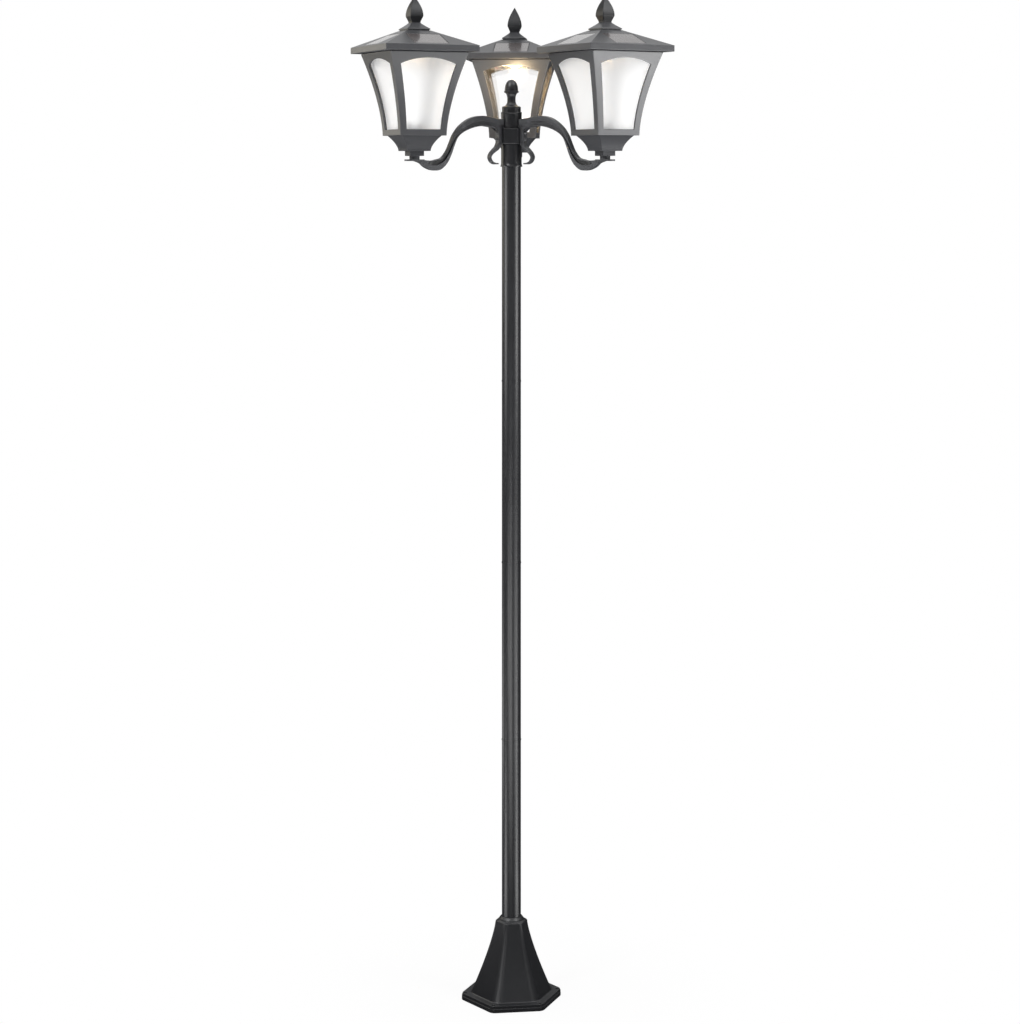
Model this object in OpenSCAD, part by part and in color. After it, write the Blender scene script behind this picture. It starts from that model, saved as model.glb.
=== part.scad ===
// Solar garden lamp: a post with three lanterns on scroll arms.
// Millimetres. +Z is up. The origin is on the pole's axis, on the ground.

/* [Base] */
// Distance across the flats of the flange
flange_af = 161.5; // [158:0.5:176]
// Radius of the flange's rounded corners
flange_corner_r = 13; // [8:1:16]
// Height of the whole flange
flange_h = 12; // [10:0.5:16]
// Height of the flange's lower slab
flange_step_h = 6.5; // [4:0.5:8]
// Set-back of the upper slab from the lower one
flange_step_in = 1.2; // [0.8:0.1:3]
// Corner radius of the flared body at the flange
foot_r = 74; // [66:1:76]
// Corner radius of the flared body at its top
crown_r = 29; // [27:0.5:34]
// Height of the flared body's top edge
body_h = 141; // [120:1:180]
// Height of the round crown above the body
crown_h = 8.5; // [5:0.5:12]
// Wall of the moulding
base_wall = 3; // [2:0.25:4]
// Thickness of the stiffening ribs
rib_t = 2.4; // [1.6:0.2:4]
// Depth of the socket that holds the pole
socket_depth = 60; // [40:1:90]
// Diameter of the ground screw holes
ground_hole_d = 6.5; // [5:0.5:8]
// Diameter of the circle of ground screw holes
ground_pcd = 168; // [166:1:170]
// Diameter of the bosses round the ground screw holes
ground_boss_d = 14; // [12:0.5:16]
// Turn of the base about the pole
base_turn = 9.5; // [0:0.5:59]

/* [Pole] */
// Outside diameter of the pole
pole_d = 34.8; // [33:0.2:36]
// Wall of the pole tube
pole_wall = 1.6; // [1:0.1:3]
// Length of the first section above the base
section_1_len = 322.5; // [200:0.5:450]
// Length of the second section
section_2_len = 324; // [200:1:450]
// Length of the third section
section_3_len = 332; // [200:1:450]
// Length of the fourth section, up to the hub
section_4_len = 392; // [250:1:450]
// Height of the ring that shows between two sections
joint_ring_h = 2; // [1:0.25:4]
// How far the ring stands out of the pole
joint_ring_out = 0.6; // [0.2:0.1:1.5]
// Length of the sleeve inside each joint
sleeve_len = 70; // [40:1:120]

/* [Hub] */
// Diameter of the hub tube
hub_d = 37.8; // [37:0.2:40]
// Length of the hub tube
hub_len = 100; // [94:1:120]
// Height of the hub's rings
hub_ring_h = 2.8; // [2:0.2:4]
// How far the hub's rings stand out
hub_ring_out = 1.1; // [0.6:0.1:1.6]
// Distance across the flats of the hexagonal band
band_af = 45; // [42:0.5:47]
// Height of the hexagonal band
band_h = 29; // [27:0.5:31]
// Height of the band's middle above the hub's lower end
band_rise = 56; // [52:1:62]
// Height of the acorn from its collar to its tip
acorn_h = 20; // [14:1:28]
// Largest diameter of the acorn
acorn_d = 27; // [22:0.5:30]

/* [Arms] */
// Distance from the pole's axis to a lantern's axis
arm_reach = 197; // [195:1:210]
// Width of an arm, across its scroll
arm_w = 13; // [11:0.5:15]
// Height of the scroll's arch above the band's middle
scroll_rise = 27.3; // [25:0.1:30]
// Thickness of the scroll at its arch
scroll_t = 18.7; // [16:0.1:20]
// How far the tail curls out of the root plate
tail_out = 15.8; // [12:0.1:18]
// Depth of the tail's tip below the band's middle
tail_drop = 50.3; // [44:0.1:54]
// Thickness of the tail at its root
tail_t = 7; // [6:0.1:8]
// Width of the raised edge round an arm's recess
arm_rim = 2.2; // [1.5:0.1:3]
// Depth of the recess along an arm's side
arm_recess = 1.2; // [0.6:0.1:2]
// Depth of the deep crescent in the lower bend
arm_crescent = 3.6; // [2:0.1:4.5]
// Height of the lantern's seat below the band's middle
seat_drop = 43; // [41:0.5:45]
// Thickness of the flat tab under a lantern
tab_t = 3; // [2.5:0.1:3.5]
// Width of the tab
tab_w = 19; // [16:0.5:24]
// How far the tab's round end reaches past the lantern's axis
tab_over = 19; // [12:0.5:22]
// Distance between the two screws of an arm
arm_screw_pitch = 12.2; // [10:0.2:14]
// Thread diameter of the arm screws
arm_screw_d = 4; // [3:0.5:4.5]
// Diameter of the arm screws' domed heads
arm_screw_head_d = 7.4; // [6.5:0.1:9]

/* [Lantern] */
// Turn of the left lantern on its stud
turn_left = -4; // [-45:1:45]
// Turn of the right lantern on its stud
turn_right = -27; // [-45:1:45]
// Turn of the back lantern on its stud
turn_back = -4; // [-45:1:45]
// Diameter of the round neck
neck_d = 18.4; // [16:0.2:20]
// Height of the round neck
neck_h = 6; // [4:0.5:9]
// Width of the square block
block_w = 27; // [24:0.5:32]
// Height of the square block
block_h = 9; // [6:0.5:12]
// Width of the pan at its bottom
pan_low_w = 45; // [38:0.5:52]
// Width of the pan at its top
pan_top_w = 75.5; // [70:0.5:80]
// Height of the pan
pan_h = 27.5; // [22:0.5:32]
// Width of the frame at its bottom
frame_low_w = 82.5; // [80:0.5:92]
// Width of the frame at its top
frame_top_w = 144; // [138:0.5:154]
// Height of the frame
frame_h = 148.5; // [130:0.5:170]
// Wall of the frame
frame_wall = 3; // [2:0.25:4]
// Width of a corner post on each face at the frame's bottom
post_low_w = 9; // [8.5:0.5:12]
// Width of a corner post on each face at the frame's top
post_top_w = 13; // [10:0.5:16]
// Height of the frame's rail under a window
rail_h = 11; // [9:0.5:14]
// Height of the frame above a window's arch
head_h = 11; // [9:0.5:14]
// Rise of a window's arch
arch_rise = 11; // [6:0.5:16]
// Thickness of a pane
pane_t = 1.5; // [1:0.1:2.5]
// How far a pane reaches past its window
pane_lap = 4; // [2:0.5:5]
// Diameter of the stud that a lantern turns on
stud_d = 6; // [5:0.5:8]
// Diameter of the thumb nut
nut_d = 26; // [20:1:32]

/* [Roof] */
// Width of the roof over its eaves
eave_w = 178; // [172:1:190]
// Height of the fascia
fascia_h = 11; // [9:0.5:14]
// Slope of the roof
roof_pitch = 23; // [20:0.5:26]
// Wall of the roof
roof_wall = 3.2; // [2.8:0.1:4]
// Width of the cap
cap_w = 44; // [36:1:54]
// Height of the cap
cap_h = 14; // [10:0.5:20]
// Width of the finial's neck
finial_neck_w = 17; // [14:0.5:20]
// Largest width of the finial
finial_w = 25; // [21:0.5:30]
// Height of the finial
finial_h = 48; // [36:1:60]
// Thickness of a solar panel
panel_t = 1.4; // [1:0.1:1.6]
// Width of a solar panel
panel_w = 65; // [56:1:68]
// Length of a solar panel up the slope
panel_l = 48; // [40:1:52]
// Distance from the eave to a panel
panel_low = 6; // [4:0.5:8]

/* [Lamp unit] */
// Width of the lamp housing
housing_w = 92; // [88:1:98]
// Height of the housing inside the roof
housing_up = 16; // [14:0.5:18]
// Height of the housing below the roof
housing_down = 8; // [7:0.5:10]
// Wall of the housing
housing_wall = 2.2; // [1.6:0.1:2.6]
// Diameter of the lens opening
lens_d = 40; // [30:1:42]
// Depth of the lens dome
lens_depth = 8; // [4:0.5:12]
// Travel of the on/off switch
switch_travel = 3; // [2:0.25:4]

/* [Fits] */
// Radial gap of a push fit
push_gap = 0.1; // [0.05:0.01:0.2]
// Gap round a piece that lifts out or slides
free_gap = 0.4; // [0.3:0.05:0.6]

/* [Hidden] */
SIDES = ["left", "right", "back"];
ARM_ANGLES = [-150, -30, 90];
TURNS = [turn_left, turn_right, turn_back];
ARM_PARTS = ["arm", "stud", "thumb_nut"];
LANTERN_PARTS = ["pan", "frame", "panes", "roof", "solar_panels", "roof_cap", "finial", "lamp_housing",
                 "lens", "circuit_board", "battery", "battery_cover", "switch"];
POST_PARTS = ["base", "pole_section_1", "pole_section_2", "pole_section_3", "pole_section_4",
              "pole_couplings", "hub", "hub_finial", "arm_screws"];

$fn = 64;
FLARE_STEPS = 16;
ARC_STEPS = 16;
CURVE_STEPS = 6;
CORNER_STEPS = 6;
THROUGH = 1;
BLACK = "#33353a";
GREY = "#56585c";

// Base: how far the round corners stand out of the flats, and the curve of the flare
body_corner = 1.1;
body_bend = 1.3;
crown_ledge = 0.6;
mouth_rim = 2.5;
mouth_bevel = 0.8;
socket_wall = 2.6;
rib_lift = 3;
crown_lift = 0.3;
mouth_z = body_h + crown_h;

// Pole: where the sections meet
pole_r = pole_d / 2;
mouth_r = pole_r + mouth_rim;
crown_foot_r = crown_r / body_corner - crown_ledge;
sleeve_r = pole_r - pole_wall - push_gap;
sleeve_wall = 2;
joint_1_z = mouth_z + section_1_len;
joint_2_z = joint_1_z + section_2_len;
joint_3_z = joint_2_z + section_3_len;
hub_z = joint_3_z + section_4_len;

// Hub
hub_r = hub_d / 2;
hub_socket_depth = band_rise - band_h / 2 - 4;
hub_bore_r = 14;
hub_plug_depth = 12;
band_z = hub_z + band_rise;
band_r = band_af / 2;
band_corner_out = 2.6;
band_chamfer = 2.2;
ring_bevel = 0.6;
acorn_z = 36;
acorn_foot_r = 17.3;
acorn_foot_h = 8.8;
acorn_cove_r = 15.8;
acorn_neck_r = 7.6;
acorn_neck_z = 21;
acorn_cup_z = 25;
acorn_collar_h = 2.6;
acorn_collar_in = 1.6;

// Arms, in the plane of the scroll: x from the pole's axis, y from the band's middle
seat_z = band_z - seat_drop;
arm_root_t = 7.2;
arm_outer = band_r + arm_root_t;
arm_inner = hub_r + 0.2;
tab_mid = -seat_drop - tab_t / 2;
// The S of the scroll. Shares of the reach, of the rise or drop, and of the thickness
SCROLL = [
    [0.003, 0.835, 0.813],
    [0.1175, 0.894, 0.941],
    [0.2355, 1, 1],
    [0.3536, 0.875, 0.973],
    [0.466, 0.495, 0.722],
    [0.5419, 0, 0.481],
    [0.584, -0.372, 0.455],
    [0.6206, -0.721, 0.535],
    [0.674, -1.047, 0.749],
    [0.7414, -1.214, 1.048],
    [0.8089, -1.247, 0.93],
    [0.8763, -1.186, 0.695],
    [0.9325, -1.086, 0.374]
];
// Stations: distance from the axis, height, thickness
S_STATIONS = concat(
    [for (s = SCROLL)
        [arm_inner + s[0] * (arm_reach - arm_inner),
         s[1] * (s[1] < 0 ? seat_drop : scroll_rise),
         s[2] * scroll_t]],
    [[arm_reach, tab_mid, tab_t]]);
// The curl of the tail, as shares of how far it stands out, of its drop and of its thickness
TAIL = [
    [-0.222, 0.219, 1],
    [0.019, 0.408, 1],
    [0.399, 0.517, 0.857],
    [0.778, 0.626, 0.629],
    [1, 0.765, 0.429],
    [0.81, 0.915, 0.4],
    [0.43, 0.99, 0.4],
    [-0.013, 1, 0.343]
];
TAIL_STATIONS = [for (s = TAIL) [arm_outer + s[0] * tail_out, -s[1] * tail_drop, s[2] * tail_t]];
RECESS_SPAN = [10, 66];
CRESCENT_SPAN = [36, 66];
arm_screw_len = 14;
arm_screw_head_h = 2.6;
arm_screw_gap = 0.2;
screw_zone = (arm_screw_pitch + arm_screw_head_d) / 2;
// Outline of the root plate, from its foot up to the scroll
ROOT_OUTLINE = [
    [band_r, -17],
    [arm_outer - 1.5, -17],
    [arm_outer, -14],
    [arm_outer, screw_zone + 0.4],
    [arm_outer + 1.6, screw_zone + 3],
    [38, 15.6],
    [38, 20],
    [arm_inner, 20],
    [arm_inner, band_h / 2 + 0.2],
    [band_r, band_h / 2 + 0.2]
];

// Lantern heights, from its seat on the arm's tab
pan_z = neck_h + block_h;
frame_z = pan_z + pan_h;
roof_z = frame_z + frame_h;
pan_wall = 2.5;
pan_bend = 1.7;
frame_bend = 1.6;
floor_t = 3;
lip_h = 2.4;
lip_out = 1;
pane_gap = 0.15;
spring_z = frame_h - head_h - arch_rise;
stud_r = stud_d / 2;
stud_head_r = stud_d;
turn_gap = 0.1;
nut_dome_h = 9;
nut_wing_h = 22;
nut_wing_t = 3;
nut_gap = 0.05;

// Roof heights, from the frame's top edge
eave_r = eave_w / 2;
cap_r = cap_w / 2;
roof_rise = (eave_r - cap_r) * tan(roof_pitch);
soffit_t = 2.4;
skirt_h = 5;
skirt_t = 2;
panel_sink = 1.6;
panel_gap = 0.2;
cap_step_h = 1.2;
cap_step_in = 1.6;
cap_edge_h = 2;
cap_bend = 1.15;
finial_neck_h = 2;
finial_tip_r = 0.3;
finial_waist_h = 12;

// Lamp unit, from the frame's top edge
flange_reach = 6;
flange_t = 2;
housing_floor_z = -housing_down + housing_wall;
lens_r = lens_d / 2;
lens_t = 1.4;
lens_flange = 3;
board_z = housing_floor_z + 4.3;
board_t = 1.6;
board_x = 72;
board_y = 60;
board_shift = 10;
post_r = 3;
post_in = 6;
led_r = 2.5;
battery_d = 14.2;
battery_len = 49.5;
battery_y = -33;
battery_door_x = 58;
battery_door_y = 18;
door_lip = 2;
door_lip_t = 1.2;
switch_y = 33;
knob_x = 5;
knob_y = 3.4;
knob_out = 2.5;
slider_x = 16;
slider_y = 8;
slider_t = 1.6;
switch_body_x = 14;
switch_body_y = 7;
slide_gap = 0.2;

// Outlines

function reverse(list) = [for (i = [len(list) - 1 : -1 : 0]) list[i]];

// A profile of [half width, height] points, closed on its other side
function mirrored(profile) = concat(profile, [for (p = reverse(profile)) [-p[0], p[1]]]);

// A profile that starts at half width a and ends at b, bent by the given power
function flare(a, b, h, bend, steps = FLARE_STEPS) =
    [for (i = [0 : steps]) [a + (b - a) * pow(i / steps, bend), h * i / steps]];

function raised(profile, z) = [for (p = profile) [p[0], p[1] + z]];

function thinned(profile, wall) = [for (p = profile) [p[0] - wall, p[1]]];

// A hexagon with round corners, across-flats size af and corner radius r
function round_hexagon(af, r) =
    [for (k = [0 : 5]) for (i = [0 : CORNER_STEPS])
        let (turn = 60 * k, a = turn - 30 + 60 * i / CORNER_STEPS, c = (af / 2 - r) / cos(30))
        [c * cos(turn) + r * cos(a), c * sin(turn) + r * sin(a)]];

// The angles of a quarter turn, in steps
function quarter() = [for (i = [0 : ARC_STEPS]) 90 * i / ARC_STEPS];

// A smooth curve through stations; each station may carry a thickness too
function curve_point(p, q, r, s, t) =
    (2 * q + (r - p) * t + (2 * p - 5 * q + 4 * r - s) * t * t + (3 * q - p - 3 * r + s) * t * t * t) / 2;

function smooth(stations) =
    let (last = len(stations) - 1)
    concat([for (i = [0 : last - 1]) for (k = [0 : CURVE_STEPS - 1])
        curve_point(stations[max(i - 1, 0)], stations[i], stations[i + 1],
                    stations[min(i + 2, last)], k / CURVE_STEPS)],
        [stations[last]]);

// One edge of a band that follows a path and has the path's own thickness
function band_edge(path, side) =
    [for (i = [0 : len(path) - 1])
        let (a = path[max(i - 1, 0)], b = path[min(i + 1, len(path) - 1)],
             d = [b[0] - a[0], b[1] - a[1]] / norm([b[0] - a[0], b[1] - a[1]]))
        [path[i][0] - side * d[1] * path[i][2] / 2, path[i][1] + side * d[0] * path[i][2] / 2]];

function band(path) = concat(band_edge(path, 1), reverse(band_edge(path, -1)));

// The part of a path between two of its points, thinner by a rim on both sides
function inset_span(path, span, rim) =
    [for (i = [span[0] : span[1]])
        let (end = min(i - span[0], span[1] - i), ease = min(1, 0.15 + end / 6))
        [path[i][0], path[i][1], max(0.4, (path[i][2] - 2 * rim) * ease)]];

// A square body whose four sides follow the same profile
module square_body(profile) {
    reach = 2 * max([for (p = profile) p[0]]) + THROUGH;
    intersection_for (a = [0, 90])
        rotate([90, 0, a]) linear_extrude(reach, center = true) polygon(mirrored(profile));
}

// A six-sided body whose flats follow one profile and whose round corners follow another, taller one
module hex_body(flats, corners) {
    reach = 2.4 * max([for (p = flats) p[0]]);
    intersection() {
        intersection_for (a = [30, 90, 150])
            rotate([90, 0, a]) linear_extrude(reach, center = true) polygon(mirrored(flats));
        rotate_extrude()
            polygon(concat([[0, corners[0][1]]], corners, [[0, corners[len(corners) - 1][1]]]));
    }
}

module square_block(w, h) {
    translate([-w / 2, -w / 2, 0]) cube([w, w, h]);
}

module tube(outer_r, inner_r, h) {
    difference() {
        cylinder(r = outer_r, h = h);
        translate([0, 0, -THROUGH]) cylinder(r = inner_r, h = h + 2 * THROUGH);
    }
}

// Base

// Radius of the flared body's corners, at a share of its height
function flared_r(share) = crown_r + (foot_r - crown_r) * pow(1 - share, body_bend);

function body_level(share) = flange_h + (body_h - flange_h) * share;

function body_flats() =
    concat([[foot_r / body_corner, flange_h - base_wall]],
           [for (i = [0 : FLARE_STEPS])
               [flared_r(i / FLARE_STEPS) / body_corner, body_level(i / FLARE_STEPS)]]);

// The corners bend half-way between the levels where the flats bend
function body_corners() =
    concat([[foot_r, 0]],
           [for (i = [0.5 : FLARE_STEPS]) [flared_r(i / FLARE_STEPS), body_level(i / FLARE_STEPS)]],
           [[crown_r, body_h + crown_lift]]);

// The outline of the flange's upper slab, set back further by an inset
function upper_slab(inset) =
    round_hexagon(flange_af - 2 * (flange_step_in + inset), flange_corner_r - flange_step_in / 2);

module base_skin() {
    linear_extrude(flange_step_h) polygon(round_hexagon(flange_af, flange_corner_r));
    linear_extrude(flange_h) polygon(upper_slab(0));
    hex_body(body_flats(), body_corners());
    rotate_extrude()
        polygon([[0, body_h - base_wall], [crown_foot_r, body_h - base_wall], [crown_foot_r, body_h],
                 [mouth_r, mouth_z - mouth_bevel], [mouth_r - mouth_bevel, mouth_z], [0, mouth_z]]);
}

module base_hollow() {
    inner = [for (p = thinned(body_flats(), base_wall)) if (p[1] <= body_h - base_wall) p];
    translate([0, 0, -THROUGH])
        linear_extrude(flange_h - base_wall + THROUGH) polygon(upper_slab(base_wall));
    hex_body(concat([[inner[0][0], inner[0][1] - THROUGH]], inner), thinned(body_corners(), base_wall));
}

module base_ribs() {
    intersection() {
        for (a = [0 : 60 : 300])
            rotate([0, 0, a]) translate([0, -rib_t / 2, rib_lift])
                cube([foot_r, rib_t, body_h - base_wall - rib_lift]);
        union() {
            hex_body(thinned(body_flats(), base_wall / 2), thinned(body_corners(), base_wall / 2));
            linear_extrude(flange_h - base_wall / 2)
                polygon(round_hexagon(2 * foot_r * cos(30), flange_corner_r));
        }
    }
}

module at_ground_holes() {
    for (a = [0 : 60 : 300]) rotate([0, 0, a]) translate([ground_pcd / 2, 0, 0]) children();
}

module base() {
    socket_z = mouth_z - socket_depth;
    color(BLACK) rotate([0, 0, base_turn]) difference() {
        union() {
            difference() {
                base_skin();
                base_hollow();
            }
            translate([0, 0, socket_z - base_wall])
                cylinder(r = pole_r + push_gap + socket_wall, h = body_h - socket_z + base_wall);
            base_ribs();
            intersection() {
                at_ground_holes() cylinder(d = ground_boss_d, h = flange_h - base_wall / 2);
                linear_extrude(flange_h) polygon(upper_slab(base_wall / 2));
            }
        }
        translate([0, 0, socket_z]) cylinder(r = pole_r + push_gap, h = socket_depth + THROUGH);
        at_ground_holes() translate([0, 0, -THROUGH]) cylinder(d = ground_hole_d, h = flange_h + 2 * THROUGH);
    }
}

// Pole

module pole_section(from_z, to_z) {
    color(BLACK) translate([0, 0, from_z]) tube(pole_r, pole_r - pole_wall, to_z - from_z);
}

module pole_couplings() {
    for (z = [joint_1_z, joint_2_z, joint_3_z])
        color(BLACK) translate([0, 0, z]) difference() {
            union() {
                translate([0, 0, -sleeve_len / 2]) cylinder(r = sleeve_r, h = sleeve_len);
                translate([0, 0, -joint_ring_h / 2]) cylinder(r = pole_r + joint_ring_out, h = joint_ring_h);
            }
            translate([0, 0, -sleeve_len / 2 - THROUGH])
                cylinder(r = sleeve_r - sleeve_wall, h = sleeve_len + 2 * THROUGH);
        }
}

// Hub

module hub() {
    ring_r = hub_r + hub_ring_out;
    top_ring_r = ring_r - ring_bevel;
    top_ring_z = hub_len - hub_ring_h;
    color(BLACK) translate([0, 0, hub_z]) difference() {
        union() {
            rotate_extrude()
                polygon([[0, 0], [ring_r, 0], [ring_r, hub_ring_h - ring_bevel],
                         [hub_r + ring_bevel, hub_ring_h], [hub_r, 2 * hub_ring_h],
                         [hub_r, top_ring_z], [top_ring_r, top_ring_z + ring_bevel],
                         [top_ring_r, hub_len - ring_bevel], [top_ring_r - ring_bevel, hub_len],
                         [0, hub_len]]);
            translate([0, 0, band_rise - band_h / 2]) intersection() {
                cylinder(r = band_r / cos(30), h = band_h, $fn = 6);
                rotate_extrude()
                    polygon([[0, 0], [band_r, 0], [band_r + band_corner_out, band_chamfer],
                             [band_r + band_corner_out, band_h - band_chamfer], [band_r, band_h],
                             [0, band_h]]);
            }
        }
        translate([0, 0, -THROUGH]) cylinder(r = pole_r + push_gap, h = hub_socket_depth + THROUGH);
        translate([0, 0, hub_socket_depth + 3]) cylinder(r = hub_bore_r, h = hub_len);
        translate([0, 0, band_rise]) at_arm_screws()
            cylinder(r = arm_screw_d / 2 + push_gap, h = arm_screw_len - arm_root_t);
    }
}

// The places where the arm screws enter the band, drilled towards the axis
module at_arm_screws() {
    for (angle = ARM_ANGLES) for (z = [-1, 1] * arm_screw_pitch / 2)
        rotate([0, 0, angle]) translate([band_r, 0, z]) rotate([0, -90, 0]) children();
}

module hub_finial() {
    collar_r = acorn_d / 2;
    plug_r = hub_bore_r - push_gap;
    dome_z = acorn_z + acorn_collar_h + 1;
    cove = [for (a = quarter())
        [acorn_cove_r - (acorn_cove_r - acorn_neck_r) * sin(a),
         acorn_neck_z - (acorn_neck_z - acorn_foot_h - 1.7) * cos(a)]];
    cup = [for (a = quarter())
        [acorn_neck_r + (collar_r - acorn_neck_r) * (1 - cos(a)),
         acorn_cup_z + (acorn_z - acorn_cup_z) * sin(a)]];
    dome = [for (a = quarter())
        [(collar_r - acorn_collar_in + 0.4) * pow(cos(a), 0.85), dome_z + acorn_h * sin(a)]];
    color(BLACK) translate([0, 0, hub_z + hub_len])
        rotate_extrude()
        polygon(concat([[0, -hub_plug_depth], [plug_r, -hub_plug_depth], [plug_r, 0], [acorn_foot_r, 0],
                        [acorn_foot_r, acorn_foot_h], [acorn_foot_r - 0.7, acorn_foot_h + 1.3]],
                       cove, cup, [[collar_r, acorn_z + acorn_collar_h],
                       [collar_r - acorn_collar_in, acorn_z + acorn_collar_h + 0.3],
                       [collar_r - acorn_collar_in, dome_z]], dome));
}

// Arms

module arm_profile() {
    polygon(band(smooth(S_STATIONS)));
    polygon(band(smooth(TAIL_STATIONS)));
    polygon(ROOT_OUTLINE);
}

module arm_recesses() {
    path = smooth(S_STATIONS);
    for (side = [-1, 1]) {
        mirror([0, 0, side < 0 ? 1 : 0]) {
            translate([0, 0, arm_w / 2 - arm_recess])
                linear_extrude(arm_w) polygon(band(inset_span(path, RECESS_SPAN, arm_rim)));
            translate([0, 0, arm_w / 2 - arm_crescent])
                linear_extrude(arm_w) polygon(band(inset_span(path, CRESCENT_SPAN, arm_rim + 0.6)));
        }
    }
}

module arm() {
    tab_start = arm_reach - tab_w / 2;
    tab_end = arm_reach + tab_over - tab_w / 2;
    color(GREY) translate([0, 0, band_z]) difference() {
        union() {
            rotate([90, 0, 0]) difference() {
                linear_extrude(arm_w, center = true) arm_profile();
                arm_recesses();
            }
            translate([0, 0, -seat_drop - tab_t]) {
                translate([tab_start, -tab_w / 2, 0]) cube([tab_end - tab_start, tab_w, tab_t]);
                for (x = [tab_start, tab_end]) translate([x, 0, 0]) cylinder(d = tab_w, h = tab_t);
            }
        }
        translate([arm_reach, 0, -seat_drop - tab_t - THROUGH])
            cylinder(r = stud_r + turn_gap, h = 3 * tab_t);
        translate([arm_reach, 0, -seat_drop - tab_t - 0.01])
            cylinder(r1 = stud_head_r + turn_gap, r2 = stud_r + turn_gap, h = stud_head_r - stud_r);
        for (z = [-1, 1] * arm_screw_pitch / 2)
            translate([arm_inner, 0, z]) rotate([0, 90, 0])
                cylinder(r = arm_screw_d / 2 + arm_screw_gap, h = 2 * arm_outer);
    }
}

module arm_screws() {
    dome_r = (pow(arm_screw_head_d / 2, 2) + pow(arm_screw_head_h, 2)) / (2 * arm_screw_head_h);
    color(GREY) translate([0, 0, band_z]) at_arm_screws() {
        translate([0, 0, -arm_root_t]) cylinder(d = arm_screw_d, h = arm_screw_len - 0.5);
        intersection() {
            translate([0, 0, -arm_root_t - arm_screw_head_h])
                cylinder(d = arm_screw_head_d, h = arm_screw_head_h);
            translate([0, 0, -arm_root_t - arm_screw_head_h + dome_r]) sphere(r = dome_r);
        }
    }
}

// A lantern's own place: its origin is on its stud, at the top of the arm's tab
module at_lantern(i) {
    rotate([0, 0, ARM_ANGLES[i]]) translate([arm_reach, 0, seat_z]) rotate([0, 0, TURNS[i]]) children();
}

module at_roof(i) {
    at_lantern(i) translate([0, 0, roof_z]) children();
}

module stud() {
    color(GREY) {
        translate([0, 0, -tab_t]) cylinder(r = stud_r, h = tab_t + frame_z + floor_t + nut_dome_h + 3);
        translate([0, 0, -tab_t]) cylinder(r1 = stud_head_r, r2 = stud_r, h = stud_head_r - stud_r);
    }
}

module thumb_nut() {
    nut_r = nut_d / 2;
    color(GREY) translate([0, 0, frame_z + floor_t]) difference() {
        union() {
            rotate_extrude()
                polygon(concat([[0, 0]], [for (a = quarter()) [nut_r * cos(a), nut_dome_h * sin(a)]]));
            for (turn = [0, 180])
                rotate([90, 0, turn]) linear_extrude(nut_wing_t, center = true)
                    polygon([[stud_r + 1, 0], [nut_r - 2, 0], [nut_r + 1, nut_wing_h - 3],
                             [nut_r - 1, nut_wing_h], [nut_r - 4, nut_wing_h - 2], [stud_r + 1, nut_dome_h]]);
        }
        translate([0, 0, -THROUGH]) cylinder(r = stud_r + nut_gap, h = nut_wing_h);
    }
}

// Lantern body

module pan() {
    outer = raised(flare(pan_low_w / 2, pan_top_w / 2, pan_h, pan_bend), pan_z);
    inner = [for (p = outer) if (p[1] >= pan_z + pan_wall) [p[0] - pan_wall, p[1]]];
    top = inner[len(inner) - 1];
    color(BLACK) difference() {
        union() {
            difference() {
                union() {
                    cylinder(d = neck_d, h = neck_h);
                    translate([0, 0, neck_h]) square_block(block_w, block_h);
                    square_body(outer);
                }
                square_body(concat(inner, [[top[0], top[1] + THROUGH]]));
            }
            translate([0, 0, pan_z]) cylinder(d = neck_d, h = pan_h);
        }
        translate([0, 0, -THROUGH]) cylinder(r = stud_r + turn_gap, h = frame_z + 2 * THROUGH);
    }
}

function frame_half(z) = (frame_low_w + (frame_top_w - frame_low_w) * pow(z / frame_h, frame_bend)) / 2;

function frame_outline() = flare(frame_low_w / 2, frame_top_w / 2, frame_h, frame_bend);

// Half a window's width at a height, grown by the given margin
function window_half(z, grow) =
    frame_half(z) - post_low_w - (post_top_w - post_low_w) * z / frame_h + grow;

// A window whose sides follow the frame and whose head is a low arch, grown by the given margin
function window_outline(grow) =
    let (side = [for (i = [0 : FLARE_STEPS])
             let (z = rail_h + (spring_z - rail_h) * i / FLARE_STEPS) [window_half(z, grow), z]],
         half = side[FLARE_STEPS][0],
         arch_r = (half * half + arch_rise * arch_rise) / (2 * arch_rise),
         open = asin(half / arch_r),
         arch = [for (i = [1 : ARC_STEPS - 1])
             let (a = open - 2 * open * i / ARC_STEPS)
             [arch_r * sin(a), spring_z + grow + arch_rise - arch_r + arch_r * cos(a)]])
    concat([[window_half(rail_h, grow), rail_h - grow]], side, [[half, spring_z + grow]], arch,
           [[-half, spring_z + grow]], [for (p = reverse(side)) [-p[0], p[1]]],
           [[-window_half(rail_h, grow), rail_h - grow]]);

module frame() {
    inner = thinned(frame_outline(), frame_wall);
    top = inner[FLARE_STEPS];
    hollow = concat([[frame_half(floor_t) - frame_wall, floor_t]],
                    [for (p = inner) if (p[1] > floor_t) p], [[top[0], top[1] + THROUGH]]);
    color(GREY) translate([0, 0, frame_z]) difference() {
        union() {
            square_body(frame_outline());
            square_block(frame_low_w + 2 * lip_out, lip_h);
        }
        square_body(hollow);
        translate([0, 0, -THROUGH]) cylinder(r = stud_r + turn_gap, h = floor_t + 2 * THROUGH);
        for (a = [0 : 90 : 270])
            rotate([90, 0, a]) linear_extrude(frame_top_w) polygon(window_outline(0));
    }
}

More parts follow.
